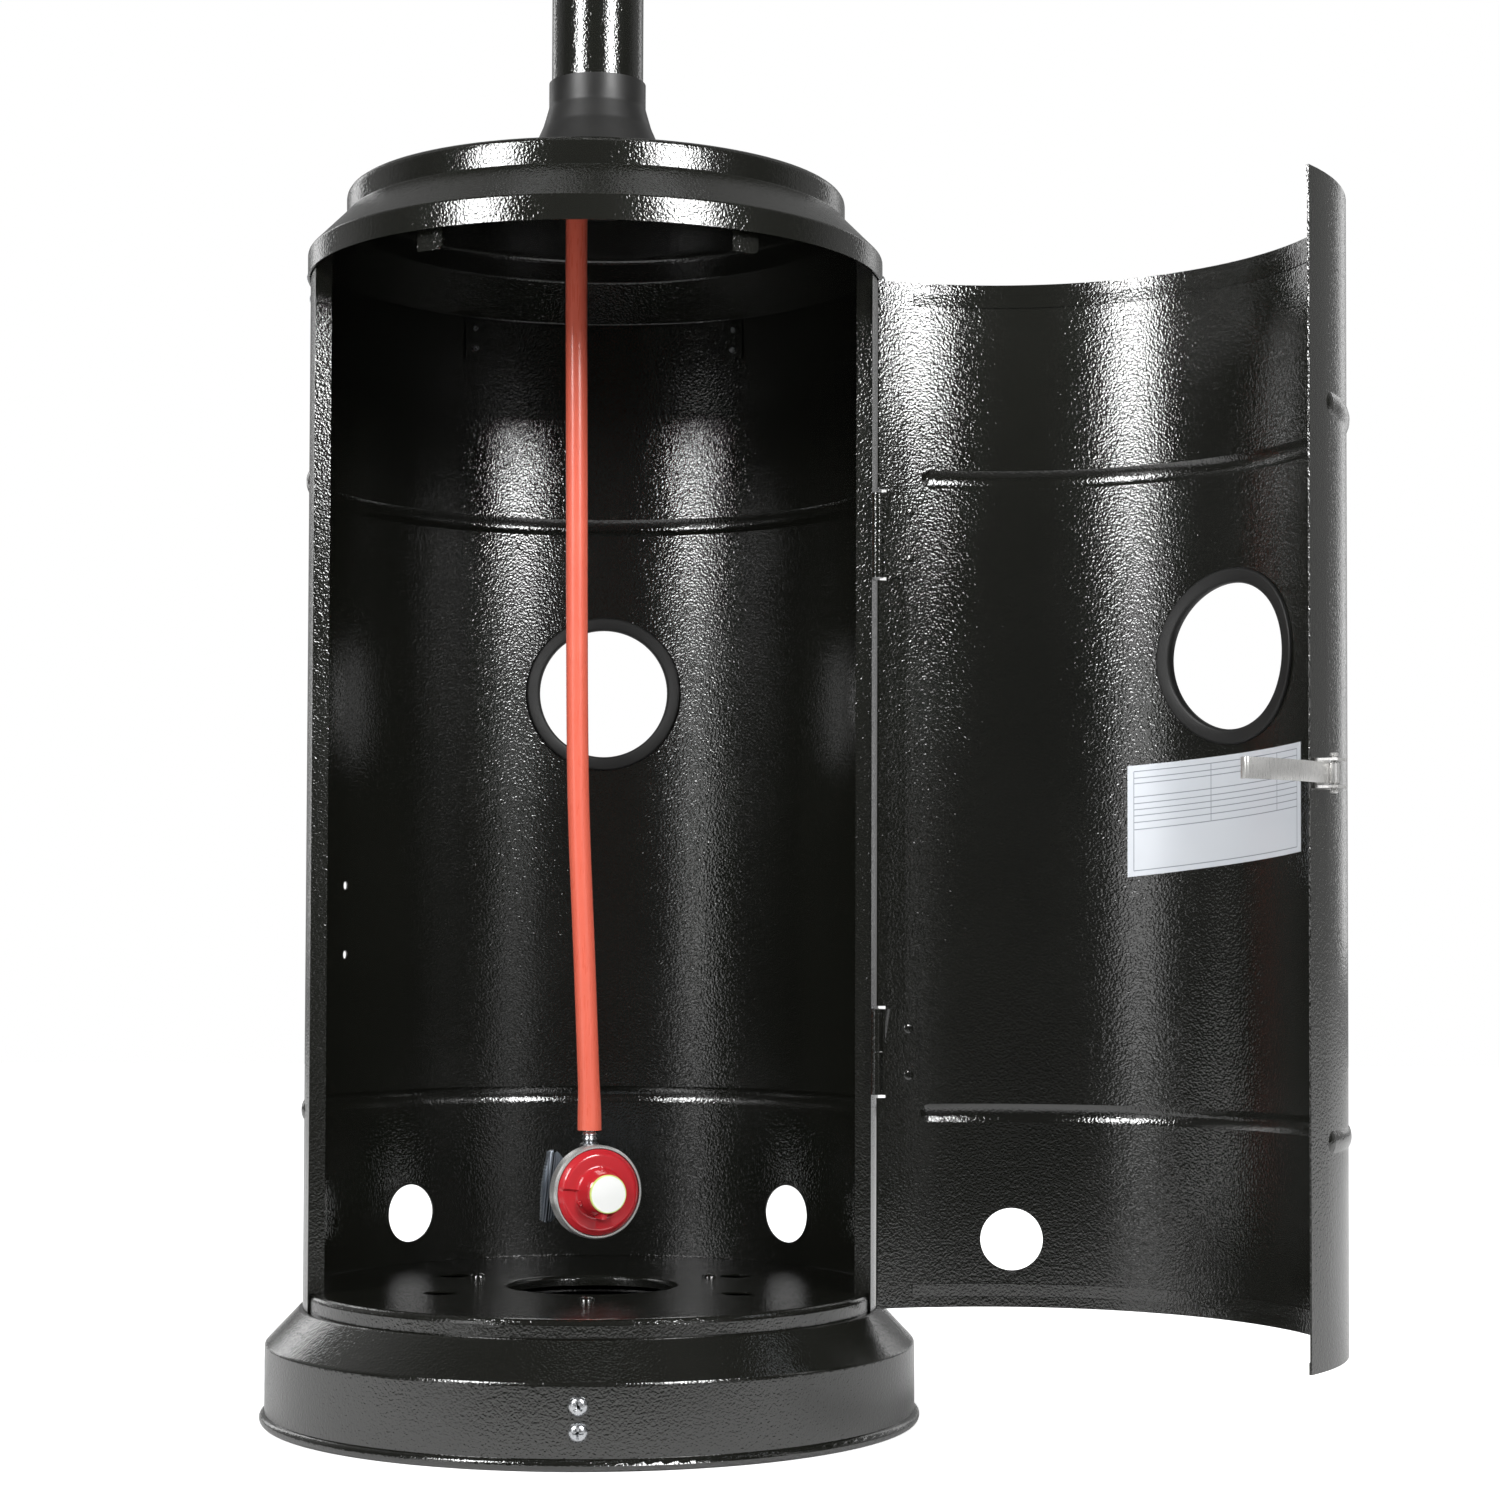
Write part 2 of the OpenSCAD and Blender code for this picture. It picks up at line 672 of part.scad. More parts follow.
module door_shell() {
    color(paint) on_door() difference() {
        union() {
            beaded_sheet(door_r, door_z0, door_z1, door_a1, lip_end,
                door_a1 + bead_margin, door_a0 - bead_margin);
            for (z = [door_z0, door_z1 - hem_w])
                band(door_in - hem_t, door_in + eps, z, z + hem_w, door_a1, door_a0 - bead_margin);
        }
        spoke(door_port_angle, port_z, door_in - 20, door_r + 20, sheet_hole_d, 64);
        for (a = door_vent_angles) spoke(a, vent_z, door_in - 20, door_r + 20, vent_d);
        for (hz = hinge_zs) for (z = leaf_screw_zs)
            spoke(door_screw_angle, hz + z, door_in - 5, door_r + 5, leaf_screw_d + 2 * run);
        for (z = bracket_holes)
            spoke(latch_rivet_angle, latch_z + z, door_in - 5, door_r + 5, rivet_d + 2 * run);
        for (hz = hinge_zs)
            band(door_in - 5, door_r + 5, hz - hinge_h / 2 - notch_play, hz + hinge_h / 2 + notch_play,
                door_a0, lip_end + 2);
    }
}

module door_grommet() {
    on_door() port_grommet(door_r, door_port_angle);
}

// Latch: the angles are those of the shut door
latch_pin_d = 3;
latch_pin_r = housing_r + latch_out;
latch_angle = door_a1 + span_deg(9, housing_r);
latch_rivet_angle = latch_angle + span_deg(15, housing_r);
rivet_d = 3;
ear_t = 1.5;
arm_t = 1.2;
eye_r = latch_pin_d / 2 + run + arm_t;
// The arm's lean inwards from the tangent, where it stands and where it is hooked
arm_rest = 12;
arm_shut = 16;
hook_l = 6;
hook_slot_w = 6;
// The angle at which the hooked arm's tip reaches the shell
hook_angle = latch_angle
    - atan(arm_l * cos(arm_shut) / (latch_pin_r - arm_l * sin(arm_shut)));

module latch_bracket() {
    plate_a0 = latch_angle - span_deg(4, housing_r);
    plate_a1 = latch_rivet_angle + span_deg(6, housing_r);
    plate_half = arm_w / 2 + 1 + ear_t;
    color(stainless) on_door() difference() {
        union() {
            band(door_r + run, door_r + ear_t, latch_z - plate_half, latch_z + plate_half, plate_a0, plate_a1);
            for (s = [-1, 1]) rotate([0, 0, latch_angle])
                translate([door_r + 0.5, -4, latch_z + s * (arm_w / 2 + 1) - (s < 0 ? ear_t : 0)])
                    cube([latch_pin_r + 3.5 - door_r, 12, ear_t]);
        }
        rotate([0, 0, latch_angle]) translate([latch_pin_r, 0, latch_z - 20])
            cylinder(h = 40, d = latch_pin_d, $fn = small_n);
        for (z = bracket_holes)
            spoke(latch_rivet_angle, latch_z + z, door_in - 5, door_r + 9, rivet_d + 2 * run);
    }
}

module latch_rivets() {
    color(stainless) on_door() for (z = bracket_holes) {
        side_screw(latch_rivet_angle, latch_z + z, door_r + ear_t, 5.6, 1.6, rivet_d, sheet + ear_t + 1);
        spoke(latch_rivet_angle, latch_z + z, door_in - 1.2, door_in - run, 5);
    }
}

module latch_pin() {
    l = arm_w + 2 * ear_t + 8;
    color(stainless) on_door() rotate([0, 0, latch_angle]) translate([latch_pin_r, 0, latch_z - l / 2])
        cylinder(h = l, d = latch_pin_d, $fn = small_n);
}

// The arm runs from its eye along -Y of a frame that is turned inwards by the rest angle
module latch_arm() {
    x0 = arm_t + 0.2 - eye_r;
    bow = [[x0, 0.6], [x0 + 3.5, -arm_l * 0.4], [x0 + 3, -arm_l * 0.78], [x0 - 1, -arm_l],
        [x0 - hook_l, -arm_l + 1.5]];
    color(stainless) on_door() rotate([0, 0, latch_angle]) translate([latch_pin_r, 0, latch_z - arm_w / 2])
        rotate([0, 0, -arm_rest]) difference() {
            union() {
                linear_extrude(arm_w) polygon(sheet_outline(rounded(bow, [0, 60, 40, 2, 0]), -arm_t));
                cylinder(h = arm_w, r = eye_r, $fn = small_n);
            }
            translate([0, 0, -1]) cylinder(h = arm_w + 2, d = latch_pin_d + 2 * run, $fn = small_n);
        }
}

// Post
spigot_h = 60;
spigot_r = post_r - post_wall - fit;
cone_wall = 1.6;
cone_top_r = post_r + 0.2 + cone_wall;

module post_foot() {
    color(paint) difference() {
        union() {
            translate([0, 0, crown_z]) cylinder(h = foot_t, r = foot_r);
            translate([0, 0, crown_z]) cylinder(h = foot_t + spigot_h, r = spigot_r);
        }
        translate([0, 0, crown_z - 1]) cylinder(h = spigot_h + 10, r = foot_hole_r);
        for (a = foot_bolt_angles) rotate([0, 0, a]) translate([foot_bolt_ring, 0, crown_z - 5])
            cylinder(h = 12, d = foot_bolt_d + 2 * fit, $fn = small_n);
    }
}

module foot_bolts() {
    grip = foot_t + sheet;
    color(zinc) for (a = foot_bolt_angles) rotate([0, 0, a]) translate([foot_bolt_ring, 0, post_z]) {
        hex_bolt(9, 4, foot_bolt_d, grip + 9);
        translate([0, 0, -grip - 5]) hex_nut(9, 5, foot_bolt_d);
    }
}

module post_collar() {
    foot = cone_d / 2;
    color(black_plastic) spun(rounded(
        [[foot, crown_z + fit], [foot, crown_z + 4], [cone_top_r + 4, crown_z + cone_h * 0.6],
         [cone_top_r, crown_z + cone_h * 0.78], [cone_top_r, crown_z + cone_h]],
        [0, 3, 20, 10, 0]), cone_wall);
}

module post() {
    color(paint) translate([0, 0, post_z]) difference() {
        cylinder(h = post_l, r = post_r);
        translate([0, 0, -1]) cylinder(h = post_l + 2, r = post_r - post_wall);
    }
}

// Gas hose: the route of its free stretch, from the bush to the nozzle
hose_r = hose_d / 2;
bush_h = 12;
bush_flange_t = 7.8;
bush_z = crown_z - sheet - bush_flange_t;
route = [
    [-14, 0, 828], [-14, 0, 810], [-14, 0, 788], [-13.8, 0, 752], [-13.5, 0, 716], [-13.2, 0, 680],
    [-12.9, 0, 644], [-12.7, 0, 608], [-12.5, 0, 572], [-12.3, 0, 536], [-12, 0, 500], [-11.6, 0, 464],
    [-11, 0, 428], [-9.9, 0, 394], [-8.4, 0, 362], [-6.9, 0, 330], [-5.5, 0, 298], [-4.3, 0, 268],
    [-3.2, 0, 240], [-2.3, 0, 218], [-2, 0, 206], [-2, 0, 194]];

// The ring of points round the hose at point i of its route
function hose_ring(i, n) =
    let(a = route[max(i - 1, 0)], b = route[min(i + 1, len(route) - 1)], d = unit(b - a),
        s = unit(cross([0, 1, 0], d)), y = cross(d, s))
    [for (k = [0:n - 1]) route[i] + hose_r * (s * cos(360 * k / n) + y * sin(360 * k / n))];

// A tube swept along the route
module swept_hose(n) {
    last = len(route) - 1;
    points = [for (i = [0:last]) each hose_ring(i, n)];
    walls = [for (i = [0:last - 1]) for (k = [0:n - 1])
        let(a = i * n + k, b = i * n + (k + 1) % n)
        each [[a, b, b + n], [a, b + n, a + n]]];
    polyhedron(points, concat(walls, [[for (k = [n - 1:-1:0]) k]], [[for (k = [0:n - 1]) last * n + k]]));
}

module gas_hose() {
    color(coral) swept_hose(12);
}

module hose_bush() {
    color(black_plastic) difference() {
        union() {
            translate([0, 0, bush_z]) cylinder(h = bush_flange_t, r = foot_hole_r + 6);
            translate([0, 0, bush_z]) cylinder(h = bush_h, r = foot_hole_r - fit);
        }
        translate([hose_x, 0, bush_z - 1]) cylinder(h = bush_h + 2, r = hose_r + run, $fn = small_n);
    }
}

// The hose's run inside the post, from the bush to the valve
riser_top = knob_z - 24;

module hose_riser() {
    color(coral) translate([hose_x, 0, bush_z]) cylinder(h = riser_top - bush_z, r = hose_r, $fn = small_n);
}

// Regulator: its axis points forwards and is turned to the right
regulator_at = [route[len(route) - 1][0], 0, regulator_z];
regulator_r = regulator_d / 2;
hose_end_z = route[len(route) - 1][2];
neck_h = 28;
inlet_r = 9;
nut_y = 12;
nut_l = 26;
nut_bore_r = 10.5;
// The nut's lip turns on the inlet and is kept on it by a flange in a pocket behind the thread
nut_lip = 3;
pocket_l = 4;
pocket_r = nut_bore_r + 0.5;
thread_y = nut_y + nut_lip + pocket_l;

module at_regulator() {
    translate(regulator_at) rotate([0, 0, regulator_turn]) children();
}

// A turned piece on the regulator's axis, from [distance to the front, radius] points
module turned(points, n = 64) {
    rotate([90, 0, 0]) rotate_extrude($fn = n) polygon([for (p = points) [p[1], p[0]]]);
}

module regulator_nozzle() {
    z0 = regulator_z + neck_h;
    barb = [[0, z0], [6.5, z0], [6.5, z0 + 4], [4.2, z0 + 5]];
    teeth = [for (i = [0:1]) let(z = z0 + 6.5 + 3 * i) each [[4.2, z], [5.2, z + 0.5], [4.2, z + 2.6]]];
    color(zinc) translate([regulator_at[0], 0, 0])
        rotate_extrude($fn = small_n) polygon(concat(barb,
            [for (p = teeth) if (p[1] < hose_end_z) p], [[4.2, hose_end_z], [0, hose_end_z]]));
}

module regulator_body() {
    color(zinc) difference() {
        union() {
            at_regulator() turned([[fit - thread_y, 0], [fit - thread_y, pocket_r - fit],
                [-nut_y - nut_lip - fit, pocket_r - fit], [-nut_y - nut_lip - fit, inlet_r],
                [-10, inlet_r], [-8, 15], [-4, 18], [3, regulator_r - 6], [9, regulator_r - 2.5],
                [13, regulator_r - 2.5], [13, 0]]);
            translate(regulator_at) cylinder(h = neck_h, r = 9, $fn = small_n);
        }
        at_regulator() rotate([-90, 0, 0]) translate([0, 0, thread_y - 8]) cylinder(h = 10, r = 3, $fn = small_n);
    }
}

module regulator_ring() {
    color(stainless) at_regulator() turned([[7, regulator_r - 2.2], [8, regulator_r], [16.5, regulator_r],
        [18, regulator_r - 1], [18, regulator_r - 2], [13.2, regulator_r - 2.2]]);
}

// The cap is dished, with a hub and four webs that stand up from the dish
module regulator_cap() {
    hub_r = disc_d / 2 + 1.8;
    web_y = 14;
    color(red) {
        at_regulator() turned([[13, 0], [13, regulator_r - 2.5], [17, regulator_r - 2.5],
            [18.5, regulator_r - 5], [16.5, regulator_r - 10], [16.5, hub_r + 1], [33.5, hub_r - 1],
            [35, hub_r - 2.4], [35, 0]]);
        at_regulator() for (a = [20:90:290]) rotate([0, a, 0]) translate([0, -web_y, 0]) rotate([90, 0, 0])
            linear_extrude(height = 16) translate([-3, 0]) square([6, hub_r + 1.5]);
    }
}

module regulator_disc() {
    color("white") at_regulator() turned([[35, 0], [35, disc_d / 2 - 0.8], [36, disc_d / 2 - 0.8],
        [36.6, disc_d / 2 - 1.4], [36.6, 0]]);
}

// A union nut with two broad ribbed wings that reach forward beside the body
nut_turn = 6;
wing_h = 50;

module hand_nut() {
    wing_t = 7;
    wing_y = inlet_r + 1.5;
    rib_pitch = 4;
    ribs = floor(wing_h / rib_pitch / 2);
    color(zinc) at_regulator() rotate([0, nut_turn, 0]) difference() {
        union() {
            rotate([-90, 0, 0]) translate([0, 0, nut_y]) cylinder(h = nut_l, r = nut_bore_r + 5, $fn = small_n);
            for (s = [0, 1]) mirror([s, 0, 0]) {
                hull() {
                    translate([nut_bore_r + 2, nut_y + 1, -13]) cube([1, wing_t + 6, 26]);
                    translate([nut_span / 2 - 3, wing_y, -wing_h / 2]) cube([2, wing_t, wing_h]);
                }
                for (k = [-ribs:ribs]) translate([nut_span / 2 - 1.5, wing_y, k * rib_pitch - 1])
                    cube([1.5, wing_t, 2]);
            }
        }
        rotate([-90, 0, 0]) translate([0, 0, nut_y - 1]) cylinder(h = 6, r = inlet_r + fit, $fn = small_n);
        rotate([-90, 0, 0]) translate([0, 0, nut_y + nut_lip]) cylinder(h = pocket_l, r = pocket_r, $fn = small_n);
        rotate([-90, 0, 0]) translate([0, 0, thread_y - 1]) cylinder(h = nut_l, r = nut_bore_r, $fn = small_n);
    }
}

// Head
bowl_in = head_r - sheet;
control_r = head_r - sheet - fit;
knob_hole_d = 14;
valve_stem_d = 8;
igniter_angle = -55;
bowl_sleeve_h = 35;
bowl_neck_w = 22;

module head_bowl() {
    foot = post_r + fit + sheet;
    color(paint) {
        spun(rounded(
            [[foot, post_top - bowl_sleeve_h], [foot, post_top + 3],
             [foot + bowl_neck_w, post_top + bowl_h * 0.45],
             [head_r, post_top + bowl_h], [head_r, bowl_top]], [0, 8, 12, 6, 0]));
        band(post_r - 8, foot + 3, post_top, post_top + 3);
    }
}

module control_housing() {
    slot_z = bowl_top + control_h * 0.62;
    color(paint) difference() {
        band(control_in, control_r, post_top + bowl_h + 3, deck_z - sheet - 2);
        spoke(-90, knob_z, control_r - 20, control_r + 20, knob_hole_d);
        spoke(igniter_angle, knob_z, control_r - 20, control_r + 20, 18 + 2 * run);
        for (a = [0:20:200]) rotate([0, 0, a]) translate([control_r - 10, -2.5, slot_z]) cube([20, 5, 22]);
    }
}

// A round plate behind the knob, flat in front and curved to the housing behind
bezel_y = control_r + 4;

module control_bezel() {
    color(stainless) difference() {
        translate([0, -control_r + 12, knob_z]) rotate([90, 0, 0])
            cylinder(h = bezel_y - control_r + 12, d = knob_d + 22);
        translate([0, 0, knob_z - 60]) cylinder(h = 120, r = control_r + run);
        translate([0, 0, knob_z]) rotate([90, 0, 0]) cylinder(h = 200, d = knob_hole_d, $fn = small_n);
    }
}

valve_back = 40;
valve_front = 78;
plug_r = 10;
control_in = control_r - sheet;
tube_z = knob_z - 10;
jet_r = 3;

module gas_valve() {
    color(brass) difference() {
        union() {
            translate([-20, -valve_front, knob_z - 18]) cube([40, valve_front - valve_back, 36]);
            translate([hose_x, 0, riser_top]) cylinder(h = 10, d = 16, $fn = small_n);
            translate([hose_x - 7, -valve_back - 2, riser_top + 2]) cube([14, valve_back + 4, 8]);
            translate([-4, -valve_back - 2, tube_z - 8]) cube([8, valve_back + 6, 6]);
            translate([0, 0, tube_z - 3]) cylinder(h = 3, d = 14, $fn = 6);
            translate([0, 0, tube_z - 4]) cylinder(h = 12, r = jet_r, $fn = small_n);
            intersection() {
                translate([0, -control_r, knob_z]) rotate([-90, 0, 0])
                    cylinder(h = control_r - valve_front + 2, r = 14);
                translate([0, 0, knob_z - 20]) cylinder(h = 40, r = control_in - fit);
            }
        }
        translate([0, -control_r - 1, knob_z]) rotate([-90, 0, 0])
            cylinder(h = control_r + 26 - valve_front, r = plug_r + run, $fn = small_n);
    }
}

module valve_plug() {
    color(brass) difference() {
        translate([0, -valve_front - 7, knob_z]) rotate([-90, 0, 0]) cylinder(h = 28, r = plug_r, $fn = small_n);
        translate([0, -valve_front - 9, knob_z]) rotate([-90, 0, 0])
            cylinder(h = 20, d = valve_stem_d + 2 * run, $fn = small_n);
    }
}

knob_back = bezel_y + knob_push + 1;
knob_l = 20;

module valve_stem() {
    color(zinc) translate([0, -knob_back - 12, knob_z]) rotate([-90, 0, 0])
        cylinder(h = knob_back + 12 - valve_front + 8 - knob_push, d = valve_stem_d, $fn = small_n);
}

module control_knob() {
    grip_t = 9;
    color(black_plastic) difference() {
        union() {
            translate([0, -knob_back, knob_z]) rotate([90, 0, 0]) rotate_extrude()
                polygon([[0, 0], [knob_d / 2, 0], [knob_d / 2, 3], [knob_d / 2 - 5, 6], [knob_d / 2 - 6, 11],
                    [0, 11]]);
            translate([-grip_t / 2, -knob_back - knob_l, knob_z - knob_d / 2 + 5])
                cube([grip_t, knob_l - 2, knob_d - 10]);
        }
        translate([0, -knob_back - 12, knob_z]) rotate([-90, 0, 0])
            cylinder(h = 14, d = valve_stem_d + 2 * run, $fn = small_n);
    }
}

igniter_r = 9;
// The button's inner end, and how far its front stands out past its travel
button_foot = control_r - 12;
button_proud = 1.5;
collar_out = control_r + 3.5;

module igniter_body() {
    color(black_plastic) difference() {
        union() {
            spoke(igniter_angle, knob_z, control_r - 52, control_r + 2, 2 * igniter_r);
            spoke(igniter_angle, knob_z, control_r + 1.3, collar_out, 2 * igniter_r + 6);
        }
        spoke(igniter_angle, knob_z, button_foot - igniter_push - 1, control_r + 5, 12 + 2 * run);
    }
}

module igniter_button() {
    color([0.75, 0.1, 0.1]) spoke(igniter_angle, knob_z, button_foot,
        collar_out + igniter_push + button_proud, 12);
}

burner_hole_r = 16;
burner_tube_r = 14;

module burner_tube() {
    color(zinc) translate([0, 0, tube_z]) difference() {
        cylinder(h = deck_z + 14 - tube_z, r = burner_tube_r, $fn = small_n);
        translate([0, 0, -1]) cylinder(h = 20, r = jet_r + run, $fn = small_n);
        translate([0, 0, 12]) cylinder(h = control_h + 60, r = burner_tube_r - 1.5, $fn = small_n);
        for (a = [0, 90]) rotate([0, 0, a]) translate([-30, -4, 16]) cube([60, 8, 14]);
    }
}

module burner_cup() {
    cup_r = 44;
    color(stainless) difference() {
        union() {
            spun([[burner_tube_r + sheet + fit, deck_z + sheet], [burner_tube_r + sheet + fit, deck_z + 8],
                [cup_r, deck_z + 24], [cup_r, deck_z + 60], [10, deck_z + 66], [0, deck_z + 66]]);
            band(burner_tube_r + fit, burner_tube_r + 8, deck_z, deck_z + 2 * sheet);
        }
        for (row = [0, 1]) for (a = [0:30:330])
            spoke(a + 15 * row, deck_z + 34 + 14 * row, cup_r - 6, cup_r + 6, 8);
    }
}

module burner_deck() {
    color(stainless) difference() {
        spun(rounded([[head_r, deck_z - 14], [head_r, deck_z], [burner_hole_r - 1.4, deck_z]], [0, 3, 0]));
        for (x = [pilot_x, pilot_x + 12]) translate([x, 0, deck_z - 5]) cylinder(h = 10, d = 7, $fn = small_n);
    }
}

pilot_x = 60;

module pilot_bracket() {
    color(stainless) difference() {
        union() {
            translate([pilot_x - 8, -9, deck_z]) cube([28, 18, 1.5]);
            translate([pilot_x - 8, 7.5, deck_z]) cube([28, 1.5, 34]);
            translate([pilot_x - 8, -9, deck_z + 32]) cube([28, 18, 1.5]);
        }
        for (x = [pilot_x, pilot_x + 12]) translate([x, 0, deck_z - 5])
            cylinder(h = 50, d = 6 + 2 * run, $fn = small_n);
    }
}

module thermocouple() {
    color([0.72, 0.45, 0.30]) {
        translate([pilot_x, 0, deck_z - 70]) cylinder(h = 120, d = 3, $fn = small_n);
        translate([pilot_x, 0, deck_z - 10]) cylinder(h = 50, d = 6, $fn = small_n);
    }
}

module spark_electrode() {
    color("white") translate([pilot_x + 12, 0, deck_z - 30]) cylinder(h = 74, d = 6, $fn = small_n);
    color(stainless) translate([pilot_x + 12, 0, deck_z + 44]) cylinder(h = 12, d = 2, $fn = small_n);
}

module tilt_switch() {
    color(black_plastic) {
        translate([40, 44, post_top + bowl_h + 14]) cube([24, 24, 30]);
        intersection() {
            translate([48, 62, post_top + bowl_h + 20]) cube([10, control_r, 16]);
            translate([0, 0, post_top + bowl_h]) cylinder(h = 60, r = control_in - fit);
        }
    }
}

// Emitter: a perforated drum, open at both ends, with alternate rows of holes set half a pitch round
// The drum is pressed with a flat for each column of holes
emitter_t = 1;
mesh_edge = 18;
mesh_pitch = (emitter_h - 2 * mesh_edge) / (mesh_rows - 1);
flats = 2 * mesh_cols;

// A drum with one flat at each column of holes
module flat_drum(r, h) {
    linear_extrude(h) polygon([for (i = [0:flats - 1]) let(a = 360 * (i + 0.5) / flats) r * [cos(a), sin(a)]]);
}

module emitter_grid() {
    color(stainless) translate([0, 0, emitter_z]) difference() {
        flat_drum(emitter_r, emitter_h);
        translate([0, 0, -1]) flat_drum(emitter_r - emitter_t, emitter_h + 2);
        for (row = [0:mesh_rows - 1]) for (col = [0:mesh_cols - 1])
            spoke((col + (row % 2) / 2) * 360 / mesh_cols, mesh_edge + row * mesh_pitch,
                emitter_r - 5, emitter_r + 5, mesh_d, 20);
    }
}

stud_ring_r = 62;
stud_angles = [90, 210, 330];
stud_d = 8;

module emitter_top() {
    color(stainless) difference() {
        spun(rounded(
            [[emitter_r + fit + sheet, emitter_top_z - 12], [emitter_r + fit + sheet, emitter_top_z + sheet],
             [emitter_r - 14, plate_z], [0, plate_z]], [0, 3, 8, 0]));
        for (a = stud_angles) rotate([0, 0, a]) translate([stud_ring_r, 0, plate_z - 5])
            cylinder(h = 10, d = stud_d + 2 * run, $fn = small_n);
    }
}

// Studs, each with a nut and a washer on the plate and a nut under the reflector
dome_top_z = plate_z + stud_l - 14;

module reflector_studs() {
    color(zinc) for (a = stud_angles) rotate([0, 0, a]) translate([stud_ring_r, 0, plate_z]) {
        translate([0, 0, -9]) cylinder(h = stud_l + 9, d = stud_d, $fn = small_n);
        hex_nut(13, 6, stud_d);
        translate([0, 0, -sheet - 6]) hex_nut(13, 6, stud_d);
        translate([0, 0, dome_top_z - plate_z - dome_t - 6]) hex_nut(13, 6, stud_d);
    }
}

// Reflector: a spun dish with a flat middle, two pressed steps and a rolled rim
dish_flat_r = 90;
rim_z = dome_top_z - dome_h;
roll_d = 6;

function dish_z(r) =
    let(s = (r - dish_flat_r) / (reflector_r - dish_flat_r))
    dome_top_z - dome_h * (0.72 * s + 0.28 * s * s);

module reflector_dome() {
    steps = [for (s = [0.3, 0.62]) dish_flat_r + s * (reflector_r - dish_flat_r)];
    skin = concat(
        [for (i = [0:4]) let(r = reflector_r - (reflector_r - steps[1] - 4) * i / 4) [r, dish_z(r)]],
        [for (i = [0:4]) let(r = steps[1] - (steps[1] - steps[0] - 4) * i / 4) [r, dish_z(r) + 2]],
        [for (i = [0:4]) let(r = steps[0] - (steps[0] - dish_flat_r) * i / 4) [r, dish_z(r) + 4 * (1 - i / 4)]],
        [[0, dome_top_z]]);
    color(aluminium) difference() {
        union() {
            spun(skin, dome_t);
            rotate_extrude() translate([reflector_r - roll_d / 2, rim_z - roll_d / 2 + 0.8])
                circle(d = roll_d, $fn = small_n);
        }
        for (a = stud_angles) rotate([0, 0, a]) translate([stud_ring_r, 0, dome_top_z - 6])
            cylinder(h = 12, d = stud_d + 2 * fit, $fn = small_n);
    }
}

module wing_nuts() {
    color(zinc) for (a = stud_angles) rotate([0, 0, a]) translate([stud_ring_r, 0, dome_top_z]) difference() {
        union() {
            cylinder(h = 1.6, d = 18, $fn = small_n);
            translate([0, 0, 1.6]) cylinder(h = 7, d1 = 14, d2 = 12, $fn = small_n);
            for (s = [-1, 1]) translate([s * 10, 1.5, 9]) rotate([90, 0, 0])
                cylinder(h = 3, d = 13, $fn = small_n);
        }
        translate([0, 0, -1]) cylinder(h = 12, d = stud_d + 2 * run, $fn = small_n);
    }
}

base_shell();
ballast_box();
ballast_cap();
base_brackets();
base_screws();
floor_pan();
pan_spacers();
pan_bolts();
housing_shell();
shell_screws();
rear_grommet();
housing_cap();
door_stop_tabs();
cap_straps();
cap_screws();
fixed_leaves();
hinge_pins();
fixed_leaf_screws();
door_leaves();
door_leaf_screws();
door_shell();
door_grommet();
latch_bracket();
latch_rivets();
latch_pin();
latch_arm();
post_foot();
foot_bolts();
post_collar();
post();
hose_bush();
hose_riser();
gas_hose();
regulator_nozzle();
regulator_body();
regulator_ring();
regulator_cap();
regulator_disc();
hand_nut();
head_bowl();
control_housing();
control_bezel();
gas_valve();
valve_plug();
valve_stem();
control_knob();
igniter_body();
igniter_button();
burner_tube();
burner_cup();
burner_deck();
pilot_bracket();
thermocouple();
spark_electrode();
tilt_switch();
emitter_grid();
emitter_top();
reflector_studs();
reflector_dome();
wing_nuts();
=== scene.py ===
# Mushroom patio heater: finishes, small pieces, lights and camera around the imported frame
import json
import math

import bmesh
import bpy
from mathutils import Matrix, Vector


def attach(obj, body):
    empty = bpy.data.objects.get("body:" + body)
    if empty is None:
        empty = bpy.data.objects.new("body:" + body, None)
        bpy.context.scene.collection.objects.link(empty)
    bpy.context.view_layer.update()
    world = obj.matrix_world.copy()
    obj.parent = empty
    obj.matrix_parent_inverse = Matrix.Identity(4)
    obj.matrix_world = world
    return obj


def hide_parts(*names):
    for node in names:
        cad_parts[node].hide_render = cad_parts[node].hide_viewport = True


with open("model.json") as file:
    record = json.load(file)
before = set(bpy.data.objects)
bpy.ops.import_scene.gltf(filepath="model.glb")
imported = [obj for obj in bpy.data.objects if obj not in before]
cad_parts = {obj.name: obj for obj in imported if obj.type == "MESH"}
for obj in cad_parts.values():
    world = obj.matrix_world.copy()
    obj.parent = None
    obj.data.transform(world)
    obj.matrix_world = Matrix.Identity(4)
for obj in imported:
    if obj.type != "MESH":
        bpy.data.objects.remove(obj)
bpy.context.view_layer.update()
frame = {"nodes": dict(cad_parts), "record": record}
NODES = frame["nodes"]
MM = 0.001


def polar(angle, radius, z=0.0):
    """The point at an angle in degrees and a radius round the heater's axis."""
    turn = math.radians(angle)
    return Vector((radius * math.cos(turn), radius * math.sin(turn), z))


def in_scene(name, data):
    """A new object that shows this data."""
    made = bpy.data.objects.new(name, data)
    bpy.context.scene.collection.objects.link(made)
    return made


# Camera: the place and lens that fit the photograph
PHOTO_PIXELS = 1500
FOCAL_PIXELS = 2990.2
CAMERA_AT = Vector((0.0731, -2.050, 0.3197))
CAMERA_YAW = math.radians(0.95)
CAMERA_PITCH = math.radians(1.85)
CAMERA_ROLL = math.radians(0.19)
CAMERA_RISE_PIXELS = 100
SENSOR_MM = 36.0
NEAREST_SEEN = 0.05


